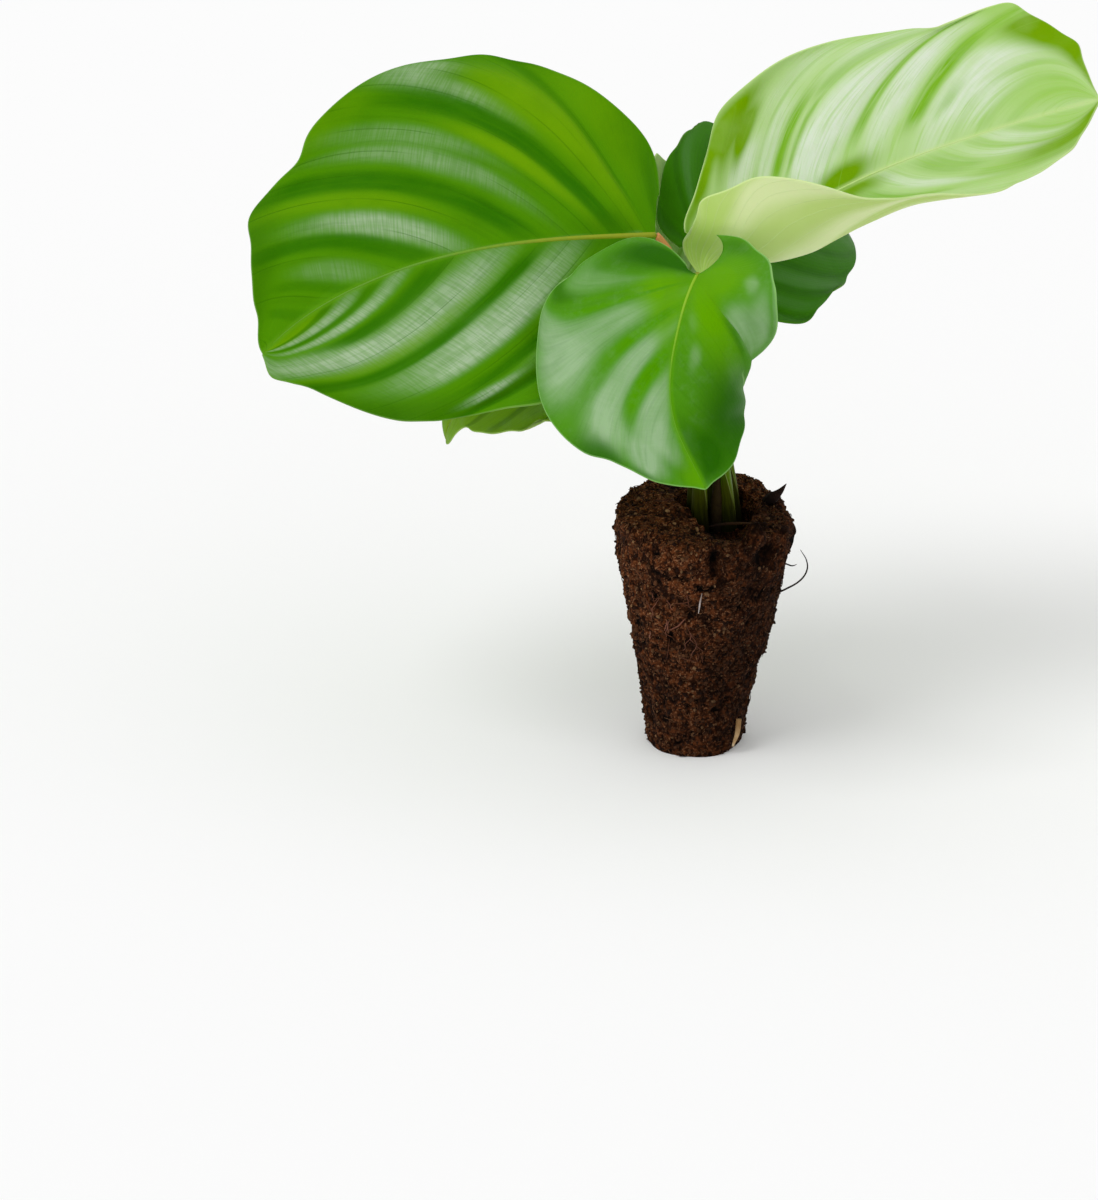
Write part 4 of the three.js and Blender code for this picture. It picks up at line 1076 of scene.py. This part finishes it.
# Painted shade in the hollow round the crown.
from_pit = np.linalg.norm(plug_skin[..., :2] - PIT_CENTRE, axis=-1)
black += (1 - ease(PIT_RADIUS - 1.2, PIT_RADIUS + 0.5, from_pit)) * ease(20, 30, plug_skin[..., 2])
dent = (0.5 * layered(plug_skin, 2.6, 11, 3, 0.6) + 0.35 * noise3(plug_skin, 0.8, 12)
        - 0.5 * ease(0.25, 0.7, noise3(plug_skin, 1.8, 13)))
is_base = (plug_ring_list[:, 3] < 0.01)[:, None]
plug_depth = np.where(is_base, 0.0, 0.75 * dent + lump)
plug_grid = plug_skin + plug_depth[..., None] * plug_normal
plug_grid[..., 2] += rim_rise(plug_skin) * ease(35, PLUG_HEIGHT, plug_skin[..., 2])
plug_grid[..., 2] = np.maximum(plug_grid[..., 2], 0.0)
make_object("peat_block", plug_grid.reshape(-1, 3), closed_faces(ring_count, PLUG_TURNS), [peat_material()],
            ["root_plug"],
            {"dent": dent.ravel(), "black": np.clip(black, 0, 1).ravel(), "painted_shade": painted_shade(plug_grid).ravel()})

rng = np.random.default_rng(SEED)


def skin_spots(count, low_row, high_row, inside=None):
    """Random places on the plug's skin, even over its area: point and normal. inside is x and z limits."""
    rows = np.arange(low_row, high_row)
    steps = np.linalg.norm(np.diff(plug_ring_list[low_row:high_row + 1, [0, 2, 3]], axis=0), axis=1)
    chance = plug_ring_list[rows, 2] * steps
    row = rng.choice(rows, 60 * count if inside else count, p=chance / chance.sum())
    column = rng.integers(0, PLUG_TURNS, len(row))
    light = black[row, column] < 0.35
    row, column = row[light], column[light]
    if inside:
        x, y, z = np.moveaxis(plug_grid[row, column], -1, 0)
        left, right, low, high = inside
        found = np.flatnonzero((y < 0) & (x > left) & (x < right) & (z > low) & (z < high))[:count]
        row, column = row[found], column[found]
    return plug_grid[row, column], plug_normal[row, column]


# The plug's radius that the fibres' ends bend down to.
SKIN_BEND = 14


def fibres(spots, length, radius, lift, bend=0.2, sides=4):
    """Short bent strands that lie on the plug's skin, one for each spot."""
    parts, tints = [], []
    for centre, n in zip(*spots):
        a = unit(np.cross(n, [0.3, 0.2, 1.0]))
        b = np.cross(n, a)
        spin = rng.uniform(0, np.pi)
        direction = np.cos(spin) * a + np.sin(spin) * b
        sideways = np.cross(n, direction)
        size = length * rng.uniform(0.5, 1.4)
        bow = rng.uniform(-bend, bend) * size
        kink = rng.uniform(-bend, bend) * size * 0.5
        t = np.linspace(-1, 1, 8)[:, None]
        sink = -size * size / 8 / SKIN_BEND
        aside = bow * (1 - t * t) + kink * np.sin(2.5 * np.pi * t)
        height = lift * rng.uniform(0.2, 1.4) + sink * t * t * 4 + rng.uniform(0, 0.3) * lift * t
        line = centre + direction * t * size / 2 + sideways * aside + n * height
        line[:, 2] = np.maximum(line[:, 2], 0.15)
        thick = radius * rng.uniform(0.6, 1.4) * np.array([0.4, 0.8, 1, 1, 1, 0.9, 0.7, 0.4])
        parts.append(bar(line, thick, sides))
        tints.append(rng.uniform())
    vertices, faces, _, part = joined(parts)
    return vertices, faces, np.array(tints)[part]


ICO = (1 + math.sqrt(5)) / 2
ICO_POINTS = unit(np.array([(-1, ICO, 0), (1, ICO, 0), (-1, -ICO, 0), (1, -ICO, 0),
                            (0, -1, ICO), (0, 1, ICO), (0, -1, -ICO), (0, 1, -ICO),
                            (ICO, 0, -1), (ICO, 0, 1), (-ICO, 0, -1), (-ICO, 0, 1)], float))
ICO_FACES = [(0, 11, 5), (0, 5, 1), (0, 1, 7), (0, 7, 10), (0, 10, 11), (1, 5, 9), (5, 11, 4),
             (11, 10, 2), (10, 7, 6), (7, 1, 8), (3, 9, 4), (3, 4, 2), (3, 2, 6), (3, 6, 8), (3, 8, 9),
             (4, 9, 5), (2, 4, 11), (6, 2, 10), (8, 6, 7), (9, 8, 1)]


def crumbs(spots, size):
    """Small uneven grains on the plug's skin, one for each spot."""
    parts, tints = [], []
    for centre, n in zip(*spots):
        scale = size * rng.uniform(0.4, 1.3)
        stretch = rng.uniform(0.6, 1.4, 3)
        knob = ICO_POINTS * stretch * (scale * rng.uniform(0.7, 1.25, (12, 1)))
        turned = knob + centre + n * scale * rng.uniform(-0.6, 0.2)
        turned[:, 2] = np.maximum(turned[:, 2], 0.05)
        parts.append((turned, ICO_FACES))
        tints.append(rng.uniform())
    vertices, faces, _, part = joined(parts)
    return vertices, faces, np.array(tints)[part]


def skin_piece(name, shape, material):
    """One object of fibres or crumbs."""
    vertices, faces, tints = shape
    make_object(name, vertices, faces, [material], (), {"tint": tints, "painted_shade": painted_shade(vertices)})


# Fibres and crumbs lie on the plug's rings from just over the base to just before the hollow.
side_start = BASE_RINGS + 1
fibre_end = ring_count - WALL_RINGS - FLOOR_RINGS - 2
crumb_end = fibre_end - 2
brown_fibre = fibre_material("brown_fibre", ["#2a150b", "#5a3822", "#946a4a"])
skin_piece("peat_fibres", fibres(skin_spots(900, side_start, fibre_end), 2.0, 0.06, 0.15), brown_fibre)
grain_brown = fibre_material("grain_brown", ["#22110a", "#5a3822", "#94704e"], 0.95)
skin_piece("peat_crumbs", crumbs(skin_spots(5600, side_start, crumb_end), 0.31), grain_brown)
ROOT_PATCH = (-8.5, 1.5, 20.0, 32.5)
red_root = fibre_material("red_root", ["#54301f", "#7d5040", "#9c7460"], 0.75)
root_spots = skin_spots(26, side_start, fibre_end, ROOT_PATCH)
skin_piece("fine_roots", fibres(root_spots, 5.0, 0.09, 0.3, bend=0.1, sides=6), red_root)


def strand(name, points, radii, material, replaced=(), sides=10, count=60):
    """A smooth bar through given points."""
    u = np.linspace(0, 1, count)
    line = np.stack([smooth([p[k] for p in points], u) for k in range(3)], -1)
    line = line + 0.06 * np.stack([noise3(line, 1.6, 41 + k) for k in range(3)], -1)
    vertices, faces = bar(line, smooth(radii, u), sides)
    make_object(name, vertices, faces, [material], replaced, {"tint": np.repeat(u, sides)})


dark_root = fibre_material("dark_root", ["#120a05", "#23150b", "#3a2616"], 0.6)
pale_root = fibre_material("pale_root", ["#8a6a44", "#b3946c", "#d8c4a4"], 0.6)
white_root = fibre_material("white_root", ["#8f8078", "#b4a8a4", "#c4bcb8"], 0.7)
ROOT_LOOP = [(17.9, -5.0, 37.9), (18.9, -5.3, 36.2), (19.1, -5.3, 34.4), (18.1, -5.2, 32.4),
             (15.9, -5.1, 30.8), (13.2, -4.9, 29.6)]
strand("hair_root", ROOT_LOOP, [0.06, 0.13, 0.15, 0.18], dark_root, ["root_loop"], sides=8)
strand("root_end", [(7.6, -6.4, 6.5), (7.4, -6.9, 4.2), (6.6, -7.2, 1.6)], [0.5, 0.45, 0.2],
       pale_root, ["root_tip"])
strand("white_hair", [(0.5, -14.5, 33.6), (0.35, -14.5, 32.4), (0.15, -14.3, 31.0), (0.0, -13.9, 29.6)],
       [0.06, 0.14, 0.14, 0.05], white_root, sides=6, count=20)
strand("side_hair", [(15.0, -4.5, 35.3), (16.4, -5.0, 34.9), (17.3, -5.2, 35.2)], [0.14, 0.12, 0.05],
       dark_root, sides=6, count=16)
brown_root = fibre_material("cross_root", ["#1c0e07", "#34200f", "#4c3220"], 0.8)
strand("cross_root", [(2.0, -6.6, 42.9), (4.5, -7.3, 43.6), (7.5, -7.4, 43.8), (10.5, -6.4, 43.3)],
       [0.15, 0.28, 0.25, 0.1], brown_root, sides=8, count=30)
bark = fibre_material("bark", ["#120a06", "#241610", "#3c2a1e"], 0.85)
strand("bark_sliver", [(12.0, 4.2, 43.2), (13.3, 4.0, 44.2), (14.5, 3.7, 45.4), (15.7, 3.4, 47.0)],
       [0.9, 1.05, 0.6, 0.06], bark, ["bark_chip"], sides=8, count=24)


CROWN_RADIUS = 5.6
CROWN_FOOT = 34
CROWN_RISE = 4.6
CROWN_TURNS = 64


def build_crown():
    """The crown: a lumpy brown knob under the stalks."""
    angles = np.linspace(0, 1, 30) * np.pi / 2
    radii = CROWN_RADIUS * np.cos(angles) + 0.02
    heights = CROWN_FOOT + CROWN_RISE * np.sin(angles)
    rings = [(*PIT_CENTRE, radius, height) for radius, height in zip(radii, heights)]
    grid = ring_grid(np.array(rings), CROWN_TURNS)
    grid = grid + (0.4 * layered(grid, 2.4, 51))[..., None] * closed_normals(grid)
    knob = fibre_material("rhizome", ["#150c06", "#2a1c0e", "#4c3820"], 0.85)
    tint = 0.5 + 0.5 * noise3(grid, 1.5, 52).ravel()
    faces = closed_faces(len(rings), CROWN_TURNS)
    make_object("crown_knob", grid.reshape(-1, 3), faces, [knob], ["crown"], {"tint": tint})


build_crown()
dry = fibre_material("dry_sheath", ["#140c04", "#2c2008", "#4a3c18"], 0.75)
strand("dry_sheath_stub", [(3.35, -1.6, 38.0), (3.3, -1.7, 42.0), (3.35, -1.6, 46.0), (3.35, -1.7, 52.6)],
       [1.0, 1.0, 0.95, 0.2], dry, ["dry_sheath"], sides=12, count=40)

# The floor, the light and the camera.
FLOOR_HALF = 3.0
floor_mesh = bpy.data.meshes.new("floor")
corners = [(x * FLOOR_HALF, y * FLOOR_HALF, 0) for x, y in ((-1, -1), (1, -1), (1, 1), (-1, 1))]
floor_mesh.from_pydata(corners, [], [(0, 1, 2, 3)])
matte_white = {"Base_Color": (0.95, 0.95, 0.95, 1), "Roughness": 0.9, "Specular_IOR_Level": 0.0}
floor_mesh.materials.append(Graph("floor").finish(**matte_white))
floor = bpy.data.objects.new("floor", floor_mesh)
bpy.context.scene.collection.objects.link(floor)

world = bpy.data.worlds.new("studio")
world.use_nodes = True
background = world.node_tree.nodes["Background"]
background.inputs["Color"].default_value = (1, 1, 1, 1)
background.inputs["Strength"].default_value = 0.76
bpy.context.scene.world = world
bpy.context.scene.view_settings.view_transform = "Standard"
bpy.context.scene.view_settings.look = "None"

sun_data = bpy.data.lights.new("sun", "SUN")
sun_data.energy = 1.05
sun_data.angle = math.radians(30)
sun = bpy.data.objects.new("sun", sun_data)
sun.rotation_euler = Vector((0.5, 0.35, -0.8)).to_track_quat("-Z", "Y").to_euler()
bpy.context.scene.collection.objects.link(sun)

# The camera's place in metres and its tilt in degrees. At its distance the picture is 2 * VIEW_HALF high.
VIEW_PLACE = (-0.02581, -0.73255, 0.32246)
VIEW_TILT = 22
VIEW_DISTANCE = 800
VIEW_HALF = 106.8
camera_data = bpy.data.cameras.new("camera")
camera_data.sensor_fit = "VERTICAL"
camera_data.angle_y = 2 * math.atan(VIEW_HALF / VIEW_DISTANCE)
camera_data.clip_start = 0.01
camera = bpy.data.objects.new("camera", camera_data)
camera.location = VIEW_PLACE
camera.rotation_euler = (math.radians(90 - VIEW_TILT), 0, 0)
bpy.context.scene.collection.objects.link(camera)
bpy.context.scene.camera = camera
